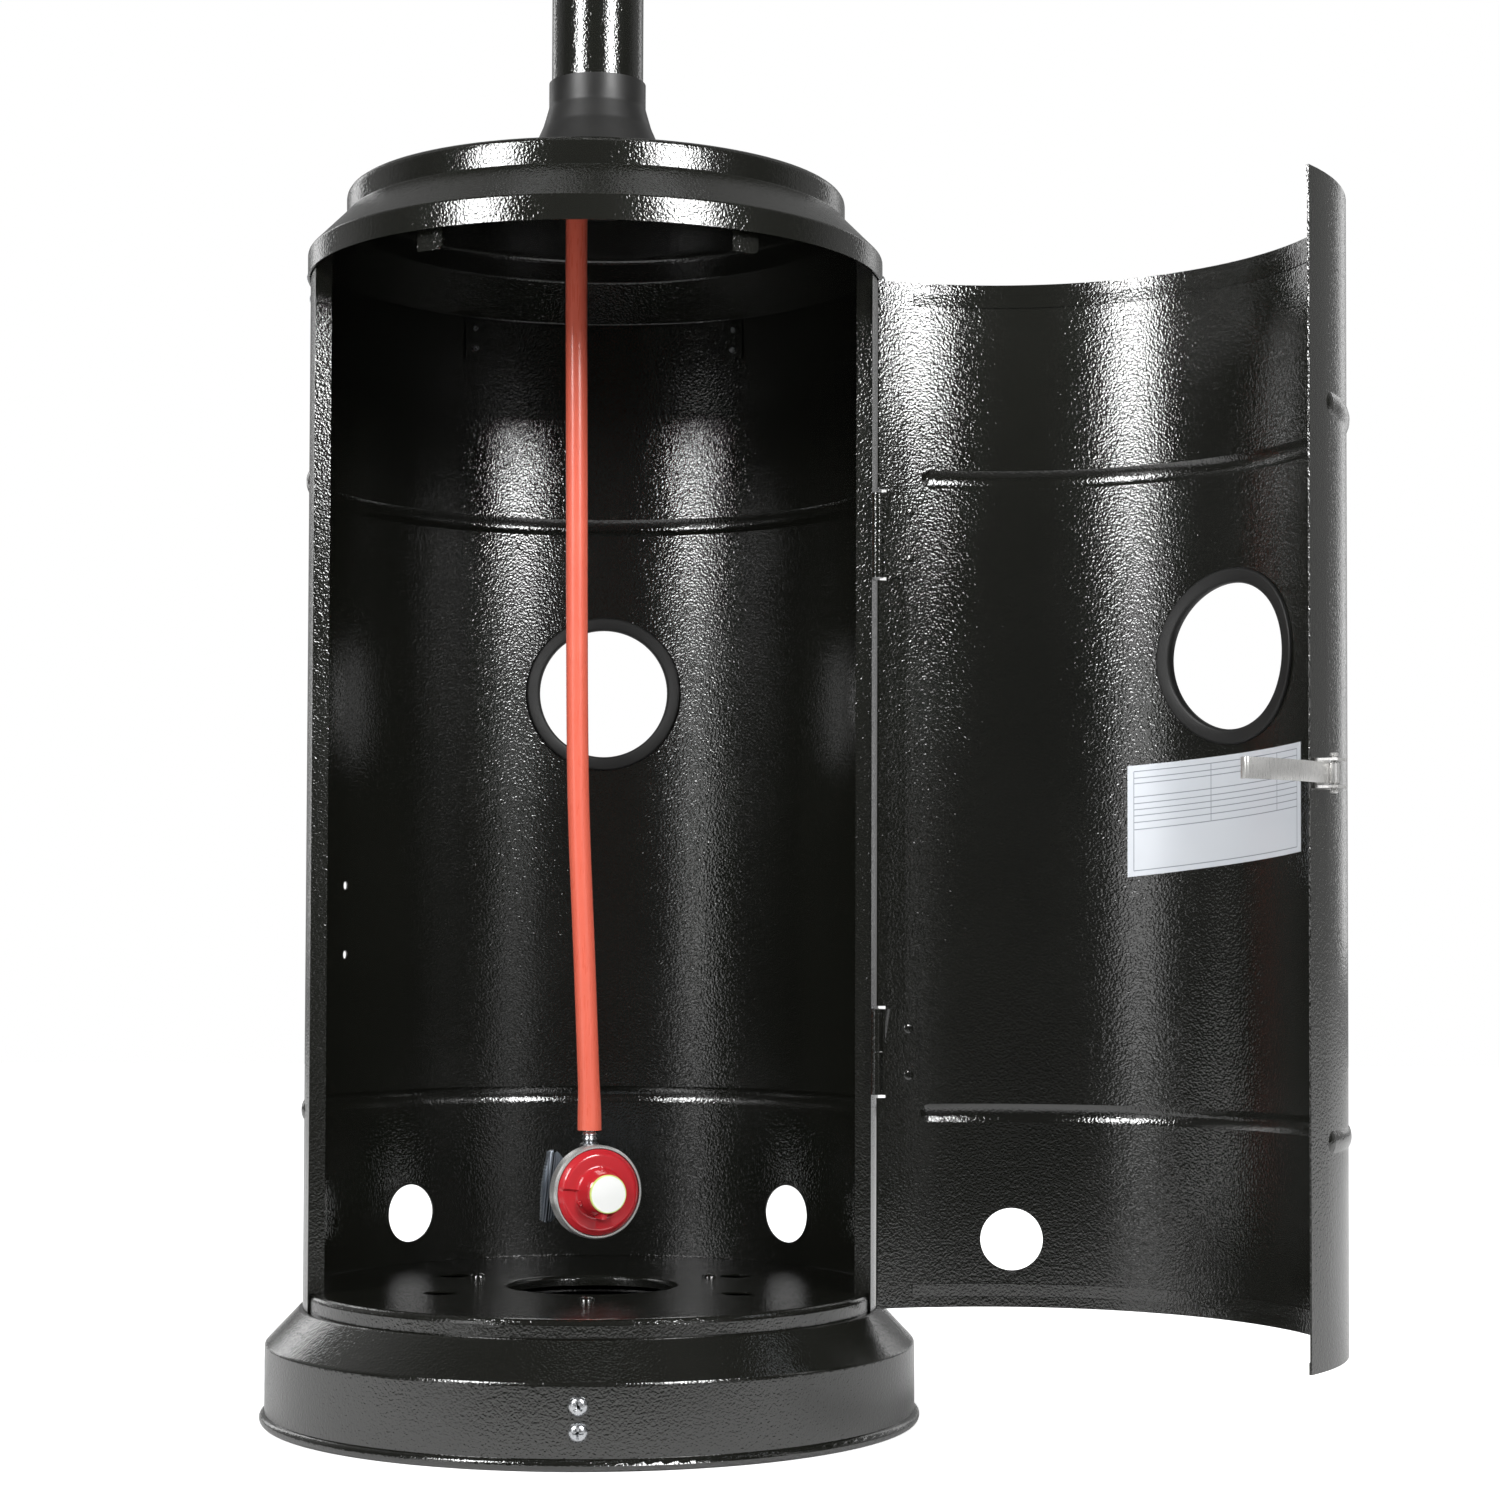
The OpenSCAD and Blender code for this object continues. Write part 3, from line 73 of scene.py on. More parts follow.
def add_camera():
    """A camera that looks along yaw and pitch, with its frame raised by a lens shift."""
    data = bpy.data.cameras.new("camera")
    data.sensor_width = SENSOR_MM
    data.lens = FOCAL_PIXELS / PHOTO_PIXELS * SENSOR_MM
    data.shift_y = CAMERA_RISE_PIXELS / PHOTO_PIXELS
    data.clip_start = NEAREST_SEEN
    camera = in_scene("camera", data)
    ahead = Vector((
        math.sin(CAMERA_YAW) * math.cos(CAMERA_PITCH),
        math.cos(CAMERA_YAW) * math.cos(CAMERA_PITCH),
        math.sin(CAMERA_PITCH),
    ))
    level = ahead.to_track_quat("-Z", "Y").to_matrix().to_4x4()
    roll = Matrix.Rotation(CAMERA_ROLL, 4, "Z")
    camera.matrix_world = Matrix.Translation(CAMERA_AT) @ level @ roll
    bpy.context.scene.camera = camera


add_camera()

# Node trees


class Value:
    """A node's socket that takes part in arithmetic, so that a tree reads as a formula."""

    def __init__(self, owner, socket):
        self.owner = owner
        self.socket = socket

    def _math(self, operation, first, second):
        return self.owner.node("ShaderNodeMath", {"operation": operation}, {0: first, 1: second})

    def __add__(self, other):
        return self._math("ADD", self, other)

    __radd__ = __add__

    def __sub__(self, other):
        return self._math("SUBTRACT", self, other)

    def __mul__(self, other):
        return self._math("MULTIPLY", self, other)

    def __truediv__(self, other):
        return self._math("DIVIDE", self, other)


class Nodes:
    """A tree whose nodes all come from one method."""

    def node(self, kind, settings=None, inputs=None, output=0):
        """A node of any kind: its settings are set first, then its sockets' values or links."""
        made = self.tree.nodes.new(kind)
        for name, value in (settings or {}).items():
            if name == "stops":
                self._set_stops(made.color_ramp, value)
            else:
                setattr(made, name, value)
        for key, value in (inputs or {}).items():
            if isinstance(value, (Value, list)):
                for source in value if isinstance(value, list) else [value]:
                    self.tree.links.new(source.socket, made.inputs[key])
            else:
                made.inputs[key].default_value = value
        return Value(self, made.outputs[output]) if len(made.outputs) else None

    @staticmethod
    def _set_stops(ramp, stops):
        while len(ramp.elements) < len(stops):
            ramp.elements.new(0.5)
        for element, (place, colour) in zip(ramp.elements, stops):
            element.position = place
            element.color = colour if len(colour) == 4 else (*colour, 1.0)


class Finish(Nodes):
    """One material: its node tree, and the Principled shader that it ends in."""

    def __init__(self, name):
        self.material = bpy.data.materials.new(name)
        self.material.use_nodes = True
        self.tree = self.material.node_tree
        self.tree.nodes.clear()

    def place(self):
        """The place on the piece, in metres in the heater's frame."""
        return self.node("ShaderNodeTexCoord", output="Object")

    def scaled(self, scale):
        """The place with each axis scaled, for a grain that runs one way."""
        return self.node("ShaderNodeMapping", inputs={"Vector": self.place(), "Scale": scale})

    def noise(self, scale, detail=2.0, roughness=0.5, place=None, distortion=0.0):
        """Noise from 0 to 1, mostly between 0.3 and 0.7, with scale cells to the metre."""
        return self.node("ShaderNodeTexNoise", inputs={
            "Vector": place or self.place(), "Scale": scale, "Detail": detail,
            "Roughness": roughness, "Distortion": distortion})

    def band(self, value, low, high, new_low=0.0, new_high=1.0):
        """The value's stretch from low to high, smoothed and mapped on new_low to new_high."""
        return self.node("ShaderNodeMapRange", {"interpolation_type": "SMOOTHSTEP"}, {
            "Value": value, "From Min": low, "From Max": high,
            "To Min": new_low, "To Max": new_high})

    def spread(self, noise, low, high):
        """The usual range of a noise, mapped on low to high."""
        return self.band(noise, NOISE_LOW, NOISE_HIGH, low, high)

    def mix(self, share, first, second):
        """A colour between two colours; the node's colour sockets are 6 and 7."""
        sockets = {0: share, 6: first, 7: second}
        return self.node("ShaderNodeMix", {"data_type": "RGBA"}, sockets, output=2)

    def bump(self, height, distance):
        """A relief as deep as distance, in metres."""
        return self.node("ShaderNodeBump", inputs={
            "Height": height, "Distance": distance, "Strength": 1.0})

    def end(self, **sockets):
        """Ends the tree in a Principled shader with these sockets, and returns the material."""
        inputs = {name.replace("_", " "): value for name, value in sockets.items()}
        shader = self.node("ShaderNodeBsdfPrincipled", inputs=inputs)
        self.node("ShaderNodeOutputMaterial", inputs={"Surface": shader})
        return self.material


def rgb(red, green, blue):
    """A linear colour, opaque."""
    return (red, green, blue, 1.0)


# Finishes: sizes and depths in metres, noise by cells to the metre
NOISE_LOW, NOISE_HIGH = 0.3, 0.7
DISC_MIDDLE = (0.0123, -0.0337, 0.153)
DISC_EDGE_FROM, DISC_EDGE_TO = 0.0118, 0.0126


def hammered_paint():
    """Black powder coat with a fine hammered grain, glossy, slightly olive."""
    f = Finish("hammered black powder coat")
    grain = f.noise(620, 1.0, 0.45, distortion=0.3)
    swell = f.noise(260, 1.0, 0.4)
    patch = f.noise(9)
    swell_share = 0.25
    return f.end(
        Base_Color=f.mix(patch, rgb(0.0060, 0.0063, 0.0048), rgb(0.0086, 0.0090, 0.0070)),
        Roughness=f.spread(patch, 0.10, 0.14),
        IOR=1.6,
        Specular_IOR_Level=0.95,
        Normal=f.bump(grain + swell * swell_share, 0.00024))


def zinc_plate():
    """Bright zinc plate with a faint blue cast and small dull spots."""
    f = Finish("zinc plate")
    spots = f.noise(900, 3.0, 0.6)
    cloud = f.noise(70)
    return f.end(
        Base_Color=f.mix(cloud, rgb(0.56, 0.58, 0.61), rgb(0.70, 0.71, 0.72)),
        Metallic=1.0,
        Roughness=f.spread(spots, 0.20, 0.34),
        Normal=f.bump(spots, 0.00002))


def rolled_stainless():
    """Stainless sheet with rolling lines along Z and a soft sheen, a little pale for the room."""
    f = Finish("rolled stainless")
    lines = f.noise(1.0, 3.0, 0.65, place=f.scaled((5200, 5200, 160)))
    cloud = f.noise(60)
    return f.end(
        Base_Color=f.mix(cloud, rgb(0.66, 0.655, 0.64), rgb(0.74, 0.735, 0.72)),
        Metallic=0.72,
        Roughness=f.band(lines, 0.25, 0.75, 0.26, 0.32),
        Normal=f.bump(lines, 0.0000015))


def satin_plastic(name, low, high, roughness, grain=1400, distance=0.00003):
    """Moulded plastic or rubber with a fine spark grain."""
    f = Finish(name)
    spark = f.noise(grain, 1.0, 0.5)
    cloud = f.noise(40)
    return f.end(
        Base_Color=f.mix(cloud, low, high),
        Roughness=f.spread(cloud, roughness, roughness + 0.08),
        Normal=f.bump(spark, distance))


def hose_rubber():
    """Smooth extruded coral rubber with a waxy sheen."""
    f = Finish("coral hose rubber")
    fine = f.noise(1.0, place=f.scaled((900, 900, 60)))
    cloud = f.noise(30)
    return f.end(
        Base_Color=f.mix(cloud, rgb(0.66, 0.115, 0.070), rgb(0.73, 0.145, 0.09)),
        Roughness=f.spread(fine, 0.26, 0.36),
        Coat_Weight=0.25,
        Coat_Roughness=0.15,
        Normal=f.bump(fine, 0.00002))


def gloss_plastic(name, low, high):
    """Glossy moulded plastic."""
    f = Finish(name)
    cloud = f.noise(55)
    ripple = f.noise(160, 1.0, 0.4)
    return f.end(
        Base_Color=f.mix(cloud, low, high),
        Roughness=f.spread(cloud, 0.10, 0.16),
        Coat_Weight=0.5,
        Coat_Roughness=0.05,
        Normal=f.bump(ripple, 0.00004))


def machined_brass():
    """Brass with fine lines along X."""
    f = Finish("machined brass")
    lines = f.noise(1.0, 3.0, 0.6, place=f.scaled((300, 2400, 2400)))
    return f.end(
        Base_Color=f.mix(lines, rgb(0.62, 0.42, 0.16), rgb(0.78, 0.56, 0.25)),
        Metallic=1.0,
        Roughness=f.spread(lines, 0.22, 0.34),
        Normal=f.bump(lines, 0.00001))


def spun_aluminium():
    """Spun sheet: fine rings round the axis, and a soft mill haze."""
    f = Finish("spun aluminium")
    flat = f.node(
        "ShaderNodeVectorMath", {"operation": "MULTIPLY"}, {0: f.place(), 1: (1.0, 1.0, 0.0)})
    radius = f.node("ShaderNodeVectorMath", {"operation": "LENGTH"}, {0: flat}, "Value")
    across = f.node("ShaderNodeCombineXYZ", inputs={"X": radius})
    rings = f.noise(1400, 3.0, 0.6, place=across)
    haze = f.noise(7, 3.0, 0.55)
    return f.end(
        Base_Color=f.mix(haze, rgb(0.78, 0.79, 0.80), rgb(0.88, 0.885, 0.89)),
        Metallic=1.0,
        Roughness=f.spread(haze, 0.20, 0.30) + rings * 0.06,
        Normal=f.bump(rings, 0.000012))


def ruled_plate():
    """A bare silver plate printed with thin rules: a frame, rows and two columns, and no words."""
    f = Finish("ruled silver plate")
    uv = f.node("ShaderNodeTexCoord", output="UV")
    across, up = (
        f.node("ShaderNodeSeparateXYZ", inputs={"Vector": uv}, output=axis) for axis in "XY")
    left, right, foot, top = 0.03, 0.97, 0.05, 0.945
    table_foot, row_half, column_half, fade = 0.42, 0.0030, 0.0013, 1.6

    def rule(value, at, half):
        """1 on a thin line at one value, 0 elsewhere."""
        away = f.node("ShaderNodeMath", {"operation": "ABSOLUTE"}, {0: value - at})
        return f.band(away, half, half * fade, 1.0, 0.0)

    def within(value, low, high):
        """1 between two values, 0 elsewhere."""
        above = f.node("ShaderNodeMath", {"operation": "GREATER_THAN"}, {0: value, 1: low})
        below = f.node("ShaderNodeMath", {"operation": "LESS_THAN"}, {0: value, 1: high})
        return above * below

    row_heights = (top, 0.885, 0.835, 0.715, 0.655, 0.60, 0.545, 0.485, table_foot, foot)
    rows = sum(rule(up, at, row_half) for at in row_heights) * within(across, left, right)
    columns = sum(rule(across, at, column_half) for at in (0.42, 0.82))
    columns = columns * within(up, table_foot, top)
    edges = sum(rule(across, at, column_half) for at in (left, right)) * within(up, foot, top)
    lines = f.band(rows + columns + edges, 0.0, 1.0)
    cloud = f.noise(14)
    silver = f.mix(cloud, rgb(0.74, 0.78, 0.84), rgb(0.82, 0.85, 0.89))
    return f.end(
        Base_Color=f.mix(lines, silver, rgb(0.30, 0.33, 0.38)),
        Metallic=0.35,
        Roughness=f.spread(cloud, 0.30, 0.36))


def disc_face():
    """White glossy plastic with a thin yellow-green edge."""
    f = Finish("white disc with a lime edge")
    away = f.node(
        "ShaderNodeVectorMath", {"operation": "DISTANCE"}, {0: f.place(), 1: DISC_MIDDLE}, "Value")
    edge = f.band(away, DISC_EDGE_FROM, DISC_EDGE_TO)
    ripple = f.noise(160, 1.0, 0.4)
    return f.end(
        Base_Color=f.mix(edge, rgb(0.88, 0.89, 0.87), rgb(0.62, 0.72, 0.20)),
        Roughness=f.spread(ripple, 0.12, 0.18),
        Coat_Weight=0.4,
        Coat_Roughness=0.05,
        Normal=f.bump(ripple, 0.00002))


def cast_zinc():
    """Die-cast zinc under a dark blue-grey passivation."""
    f = Finish("blue-grey cast zinc")
    grain = f.noise(1100, 2.0, 0.6)
    cloud = f.noise(45)
    return f.end(
        Base_Color=f.mix(cloud, rgb(0.22, 0.25, 0.29), rgb(0.33, 0.36, 0.40)),
        Metallic=0.85,
        Roughness=f.spread(cloud, 0.30, 0.42),
        Normal=f.bump(grain, 0.00004))


FINISHES = {
    "ruled_plate": ruled_plate(),
    "disc_face": disc_face(),
    "cast_zinc": cast_zinc(),
    "black_paint": hammered_paint(),
    "zinc": zinc_plate(),
    "stainless": rolled_stainless(),
    "black_plastic": satin_plastic(
        "black plastic", rgb(0.012, 0.012, 0.012), rgb(0.018, 0.018, 0.017), 0.38),
    "black_rubber": satin_plastic(
        "black rubber", rgb(0.010, 0.010, 0.010), rgb(0.016, 0.016, 0.015), 0.46,
        grain=900, distance=0.00005),
    "tank_plastic": satin_plastic(
        "tank plastic", rgb(0.040, 0.040, 0.042), rgb(0.052, 0.052, 0.054), 0.5,
        grain=500, distance=0.0001),
    "hose_rubber": hose_rubber(),
    "red_plastic": gloss_plastic(
        "red gloss plastic", rgb(0.46, 0.018, 0.026), rgb(0.54, 0.026, 0.034)),
    "white_plastic": gloss_plastic(
        "white gloss plastic", rgb(0.80, 0.81, 0.78), rgb(0.86, 0.87, 0.84)),
    "brass": machined_brass(),
    "aluminium": spun_aluminium(),
}
SLOT_OF = {part["node"]: part["material_slot"] for part in frame["record"]["subparts"]}


def dress(piece, slot):
    """Gives a piece one finish."""
    piece.data.materials.clear()
    piece.data.materials.append(FINISHES[slot])


for name, cad_node in NODES.items():
    dress(cad_node, SLOT_OF[name])
NODES["regulator_body"].data.materials[0] = FINISHES["cast_zinc"]

# The hose's free stretch, in metres, from the bush down to the nozzle, on the frame's own route
HOSE_ROUTE = [
    (-0.014, 0, 0.828), (-0.014, 0, 0.810), (-0.014, 0, 0.788), (-0.0138, 0, 0.752),
    (-0.0135, 0, 0.716), (-0.0132, 0, 0.680), (-0.0129, 0, 0.644), (-0.0127, 0, 0.608),
    (-0.0125, 0, 0.572), (-0.0123, 0, 0.536), (-0.012, 0, 0.500), (-0.0116, 0, 0.464),
    (-0.011, 0, 0.428), (-0.0099, 0, 0.394), (-0.0084, 0, 0.362), (-0.0069, 0, 0.330),
    (-0.0055, 0, 0.298), (-0.0043, 0, 0.268), (-0.0032, 0, 0.240), (-0.0023, 0, 0.218),
    (-0.002, 0, 0.206), (-0.002, 0, 0.194)]
HOSE_D = 0.015
# Below this height the hose is wider by this factor
FLARE_Z, FLARE = 0.215, 1.1


def add_hose(far_pieces):
    """The coral hose, a round tube on the route, a little wider over the nozzle's barbs."""
    data = bpy.data.curves.new("hose", "CURVE")
    data.dimensions = "3D"
    data.bevel_depth = HOSE_D / 2
    data.bevel_resolution = 6
    data.resolution_u = 6
    data.use_fill_caps = True
    spline = data.splines.new("NURBS")
    spline.points.add(len(HOSE_ROUTE) - 1)
    for point, place in zip(spline.points, HOSE_ROUTE):
        point.co = (*place, 1.0)
        point.radius = FLARE if place[2] < FLARE_Z else 1.0
    spline.use_endpoint_u = True
    spline.order_u = 4
    hose = in_scene("hose", data)
    data.materials.append(FINISHES["hose_rubber"])
    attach(hose, "root")
    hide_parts("gas_hose")


# Meshes: points in millimetres until they are in a mesh
SHARP_ANGLE = 35
WELD = 0.002
BEVEL_SEGMENTS, BEVEL_ANGLE = 2, 30


def rounded(points, radii, steps=4):
    """A path with its corners rounded to the radii, none where a radius is 0."""
    path = []
    for i, (point, radius) in enumerate(zip(points, radii)):
        here = Vector(point)
        if not radius:
            path.append(here)
            continue
        before = (Vector(points[i - 1]) - here).normalized()
        after = (Vector(points[(i + 1) % len(points)]) - here).normalized()
        half = before.angle(after) / 2
        middle = here + (before + after).normalized() * radius / math.sin(half)
        start = here + before * radius / math.tan(half) - middle
        end = here + after * radius / math.tan(half) - middle
        for step in range(steps + 1):
            share = step / steps
            path.append(middle + start.slerp(end, share).normalized() * radius)
    return path


def piece_mesh(name, points, faces, sharp=SHARP_ANGLE):
    """A finished mesh in metres from points in millimetres."""
    mesh = bpy.data.meshes.new(name)
    mesh.from_pydata([Vector(point) * MM for point in points], [], faces)
    return finish_mesh(mesh, sharp)


def finish_mesh(mesh, sharp=SHARP_ANGLE, weld=True):
    """The same mesh, its faces outwards, and smooth but for edges sharper than an angle."""
    work = bmesh.new()
    work.from_mesh(mesh)
    if weld:
        bmesh.ops.remove_doubles(work, verts=work.verts, dist=WELD * MM)
    bmesh.ops.recalc_face_normals(work, faces=work.faces)
    work.to_mesh(mesh)
    work.free()
    mesh.shade_smooth()
    mesh.set_sharp_from_angle(angle=math.radians(sharp))
    return mesh


def ring_faces(steps, count, closed):
    """The faces between rings of count points, the last ring joined to the first."""
    faces = []
    for step in range(steps):
        here, there = step * count, (step + 1) % steps * count
        for i in range(count if closed else count - 1):
            after = (i + 1) % count
            faces.append((here + i, here + after, there + after, there + i))
    return faces


def turned(name, profile, axis, steps, closed=False, lift=None):
    """A mesh of a profile of (along, radius) points turned round the z axis of a matrix; lift
    gives how far a point of the profile is raised at a turn in radians."""
    points = []
    for step in range(steps):
        turn = 2 * math.pi * step / steps
        for i, (along, radius) in enumerate(profile):
            rise = lift(i, turn) if lift else 0.0
            place = Vector((radius * math.cos(turn), radius * math.sin(turn), along + rise))
            points.append(axis @ place)
    return piece_mesh(name, points, ring_faces(steps, len(profile), closed))


def softened(mesh, width):
    """The mesh with its sharp edges rounded by a bevel of a width in millimetres."""
    holder = in_scene("bevel", mesh)
    bevel = holder.modifiers.new("bevel", "BEVEL")
    bevel.width = width * MM
    bevel.segments = BEVEL_SEGMENTS
    bevel.limit_method = "ANGLE"
    bevel.angle_limit = math.radians(BEVEL_ANGLE)
    return finish_mesh(evaluated(holder))


def evaluated(holder):
    """The plain mesh that an object's modifiers make; the object is removed."""
    graph = bpy.context.evaluated_depsgraph_get()
    graph.update()
    made = bpy.data.meshes.new_from_object(holder.evaluated_get(graph))
    bpy.data.objects.remove(holder)
    return made


def box(name, low, high, place):
    """A block between two corners in millimetres, moved by the matrix place."""
    corners = [
        (x, y, z) for x in (low[0], high[0]) for y in (low[1], high[1]) for z in (low[2], high[2])]
    faces = [(0, 1, 3, 2), (4, 6, 7, 5), (0, 4, 5, 1), (2, 3, 7, 6), (0, 2, 6, 4), (1, 5, 7, 3)]
    return piece_mesh(name, [place @ Vector(corner) for corner in corners], faces)


def joined(name, meshes):
    """One mesh out of several."""
    work = bmesh.new()
    for mesh in meshes:
        work.from_mesh(mesh)
        bpy.data.meshes.remove(mesh)
    made = bpy.data.meshes.new(name)
    work.to_mesh(made)
    work.free()
    return finish_mesh(made)


def add_piece(name, mesh, slot, body, *replaced):
    """A piece in the finish of a slot that rides on a body and stands for the replaced nodes."""
    made = in_scene(name, mesh)
    dress(made, slot)
    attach(made, body)
    if replaced:
        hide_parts(*replaced)
    return made


# Patterns


class Pattern(Nodes):
    """A Geometry Nodes tree that sets copies of a form on the points of a mesh."""

    KINDS = {float: "NodeSocketFloat", int: "NodeSocketInt"}

    def __init__(self, name, sizes):
        self.tree = bpy.data.node_groups.new(name, "GeometryNodeTree")
        face = self.tree.interface
        face.new_socket("Geometry", in_out="INPUT", socket_type="NodeSocketGeometry")
        face.new_socket("Material", in_out="INPUT", socket_type="NodeSocketMaterial")
        face.new_socket("Geometry", in_out="OUTPUT", socket_type="NodeSocketGeometry")
        for label, value in sizes.items():
            socket = face.new_socket(label, in_out="INPUT", socket_type=self.KINDS[type(value)])
            socket.default_value = value
        self.entry = self.tree.nodes.new("NodeGroupInput")
        self.identifiers = {
            item.name: item.identifier for item in face.items_tree if item.in_out == "INPUT"}

    def size(self, label):
        """One of the tree's own inputs."""
        return Value(self, self.entry.outputs[label])

    def vector(self, x=0.0, y=0.0, z=0.0):
        """A vector of three numbers or sockets."""
        return self.node("ShaderNodeCombineXYZ", inputs={"X": x, "Y": y, "Z": z})

    def moved(self, form, by=(0.0, 0.0, 0.0), scale=(1.0, 1.0, 1.0)):
        """The form, scaled and then moved."""
        return self.node("GeometryNodeTransform", inputs={
            "Geometry": form, "Translation": by, "Scale": scale})

    def named(self, attribute):
        """A vector that each point carries."""
        return self.node(
            "GeometryNodeInputNamedAttribute", {"data_type": "FLOAT_VECTOR"}, {"Name": attribute})

    def on_points(self, form):
        """A copy of the form on each point, turned and stretched as the point says."""
        turn = self.node("FunctionNodeEulerToRotation", inputs={"Euler": self.named("turn")})
        return self.node("GeometryNodeInstanceOnPoints", inputs={
            "Points": self.size("Geometry"), "Instance": form, "Rotation": turn,
            "Scale": self.named("stretch")})

    def end(self, form):
        """Ends the tree: copies made real, and the material set."""
        real = self.node("GeometryNodeRealizeInstances", inputs={"Geometry": form})
        dressed = self.node("GeometryNodeSetMaterial", inputs={
            "Geometry": real, "Material": self.size("Material")})
        self.node("NodeGroupOutput", inputs={"Geometry": dressed})
        return self

    def run(self, name, mesh, slot, **sizes):
        """The plain mesh that the tree makes from a mesh, with the sizes in metres."""
        holder = in_scene(name, mesh)
        modifier = holder.modifiers.new(name, "NODES")
        modifier.node_group = self.tree
        modifier[self.identifiers["Material"]] = FINISHES[slot]
        for label, value in sizes.items():
            modifier[self.identifiers[label.replace("_", " ")]] = value
        made = evaluated(holder)
        made.name = name
        return finish_mesh(made)


def seats(name, places):
    """A mesh of points, each with a turn and a stretch, from (matrix, stretch) pairs."""
    mesh = bpy.data.meshes.new(name)
    mesh.from_pydata([place.translation * MM for place, _ in places], [], [])
    turns = mesh.attributes.new("turn", "FLOAT_VECTOR", "POINT")
    stretches = mesh.attributes.new("stretch", "FLOAT_VECTOR", "POINT")
    for i, (place, stretch) in enumerate(places):
        turns.data[i].vector = place.to_euler()
        stretches.data[i].vector = stretch
    return mesh


def screw_pattern():
    """Domed heads with a cross recess, each on a short shank."""
    p = Pattern("cross-head screws", {
        "Head radius": 0.004, "Head height": 0.0024, "Shank radius": 0.002,
        "Shank length": 0.006, "Slot width": 0.001})
    radius, height, slot = p.size("Head radius"), p.size("Head height"), p.size("Slot width")
    ball = p.node("GeometryNodeMeshUVSphere", inputs={"Segments": 28, "Rings": 14, "Radius": 1.0})
    dome = p.moved(ball, scale=p.vector(radius, radius, height))
    beyond, reach, recess_z = radius * 3, radius * 1.15, height * 0.95
    under = p.node("GeometryNodeMeshCube", inputs={"Size": p.vector(beyond, beyond, height * 2)})
    cuts = [p.moved(under, by=p.vector(z=height * -1.0))]
    for sides in ((slot, reach), (reach, slot)):
        bar = p.node("GeometryNodeMeshCube", inputs={"Size": p.vector(*sides, height)})
        cuts.append(p.moved(bar, by=p.vector(z=recess_z)))
    head = p.node(
        "GeometryNodeMeshBoolean", {"operation": "DIFFERENCE"}, {"Mesh 1": dome, "Mesh 2": cuts})
    long = p.size("Shank length")
    shank = p.moved(
        p.node("GeometryNodeMeshCylinder", inputs={
            "Vertices": 16, "Radius": p.size("Shank radius"), "Depth": long}),
        by=p.vector(z=long * -0.5))
    both = p.node("GeometryNodeJoinGeometry", inputs={"Geometry": [head, shank]})
    return p.end(p.on_points(both))


def rib_pattern():
    """Round ribs of 1 mm, half sunk in what carries them; each point stretches its own."""
    p = Pattern("ribs", {"Rib radius": 0.0005})
    bar = p.node("GeometryNodeMeshCylinder", inputs={
        "Vertices": 8, "Radius": p.size("Rib radius"), "Depth": MM})
    return p.end(p.on_points(bar))


def mesh_pattern():
    """A drum's wall of square cells with a round hole each, alternate rows half a cell round."""
    p = Pattern("perforated drum", {
        "Columns": 72, "Rows": 24, "Radius": 0.097, "Hole radius": 0.0028, "Foot": 0.0,
        "Height": 0.238})
    columns, rows, radius = p.size("Columns"), p.size("Rows"), p.size("Radius")
    pitch = radius * 2 * math.pi / columns
    corners = 8
    edge = p.node(
        "GeometryNodeCurvePrimitiveQuadrilateral", inputs={"Width": pitch, "Height": pitch})
    edge = p.node("GeometryNodeResampleCurve", {"mode": "COUNT"}, {"Curve": edge, "Count": corners})
    hole = p.node("GeometryNodeCurvePrimitiveCircle", inputs={
        "Resolution": corners, "Radius": p.size("Hole radius")})
    outline = p.node("GeometryNodeJoinGeometry", inputs={"Geometry": [edge, hole]})
    cell = p.node("GeometryNodeFillCurve", inputs={"Curve": outline})
    grid = p.node("GeometryNodeMeshGrid", inputs={
        "Size X": pitch * (columns - 1), "Size Y": pitch * (rows - 1),
        "Vertices X": columns, "Vertices Y": rows})
    place = p.node("GeometryNodeInputPosition")
    across, up = (
        p.node("ShaderNodeSeparateXYZ", inputs={"Vector": place}, output=axis) for axis in "XY")
    row = p.node("ShaderNodeMath", {"operation": "ROUND"}, {0: up / pitch + rows * 0.5 - 0.5})
    odd = p.node("ShaderNodeMath", {"operation": "MODULO"}, {0: row, 1: 2.0})
    shifted = p.node("GeometryNodeSetPosition", inputs={
        "Geometry": grid, "Offset": p.vector(x=odd * pitch * 0.5)})
    copies = p.node(
        "GeometryNodeInstanceOnPoints", inputs={"Points": shifted, "Instance": cell})
    cells = p.node("GeometryNodeRealizeInstances", inputs={"Geometry": copies})
    margin = (p.size("Height") - pitch * rows) / 2
    plain = [
        p.moved(
            p.node("GeometryNodeMeshGrid", inputs={
                "Size X": pitch * columns, "Size Y": margin,
                "Vertices X": columns * 2 + 1, "Vertices Y": 2}),
            by=p.vector(x=pitch * -0.5, y=(pitch * rows + margin) * side))
        for side in (0.5, -0.5)]
    flat = p.node("GeometryNodeJoinGeometry", inputs={"Geometry": [cells, *plain]})
    turn = across / radius
    cosine = p.node("ShaderNodeMath", {"operation": "COSINE"}, {0: turn})
    sine = p.node("ShaderNodeMath", {"operation": "SINE"}, {0: turn})
    height = up + p.size("Foot") + p.size("Height") * 0.5
    wall = p.node("GeometryNodeSetPosition", inputs={
        "Geometry": flat, "Position": p.vector(radius * cosine, radius * sine, height)})
    return p.end(p.node(
        "GeometryNodeMergeByDistance", inputs={"Geometry": wall, "Distance": 0.00002}))


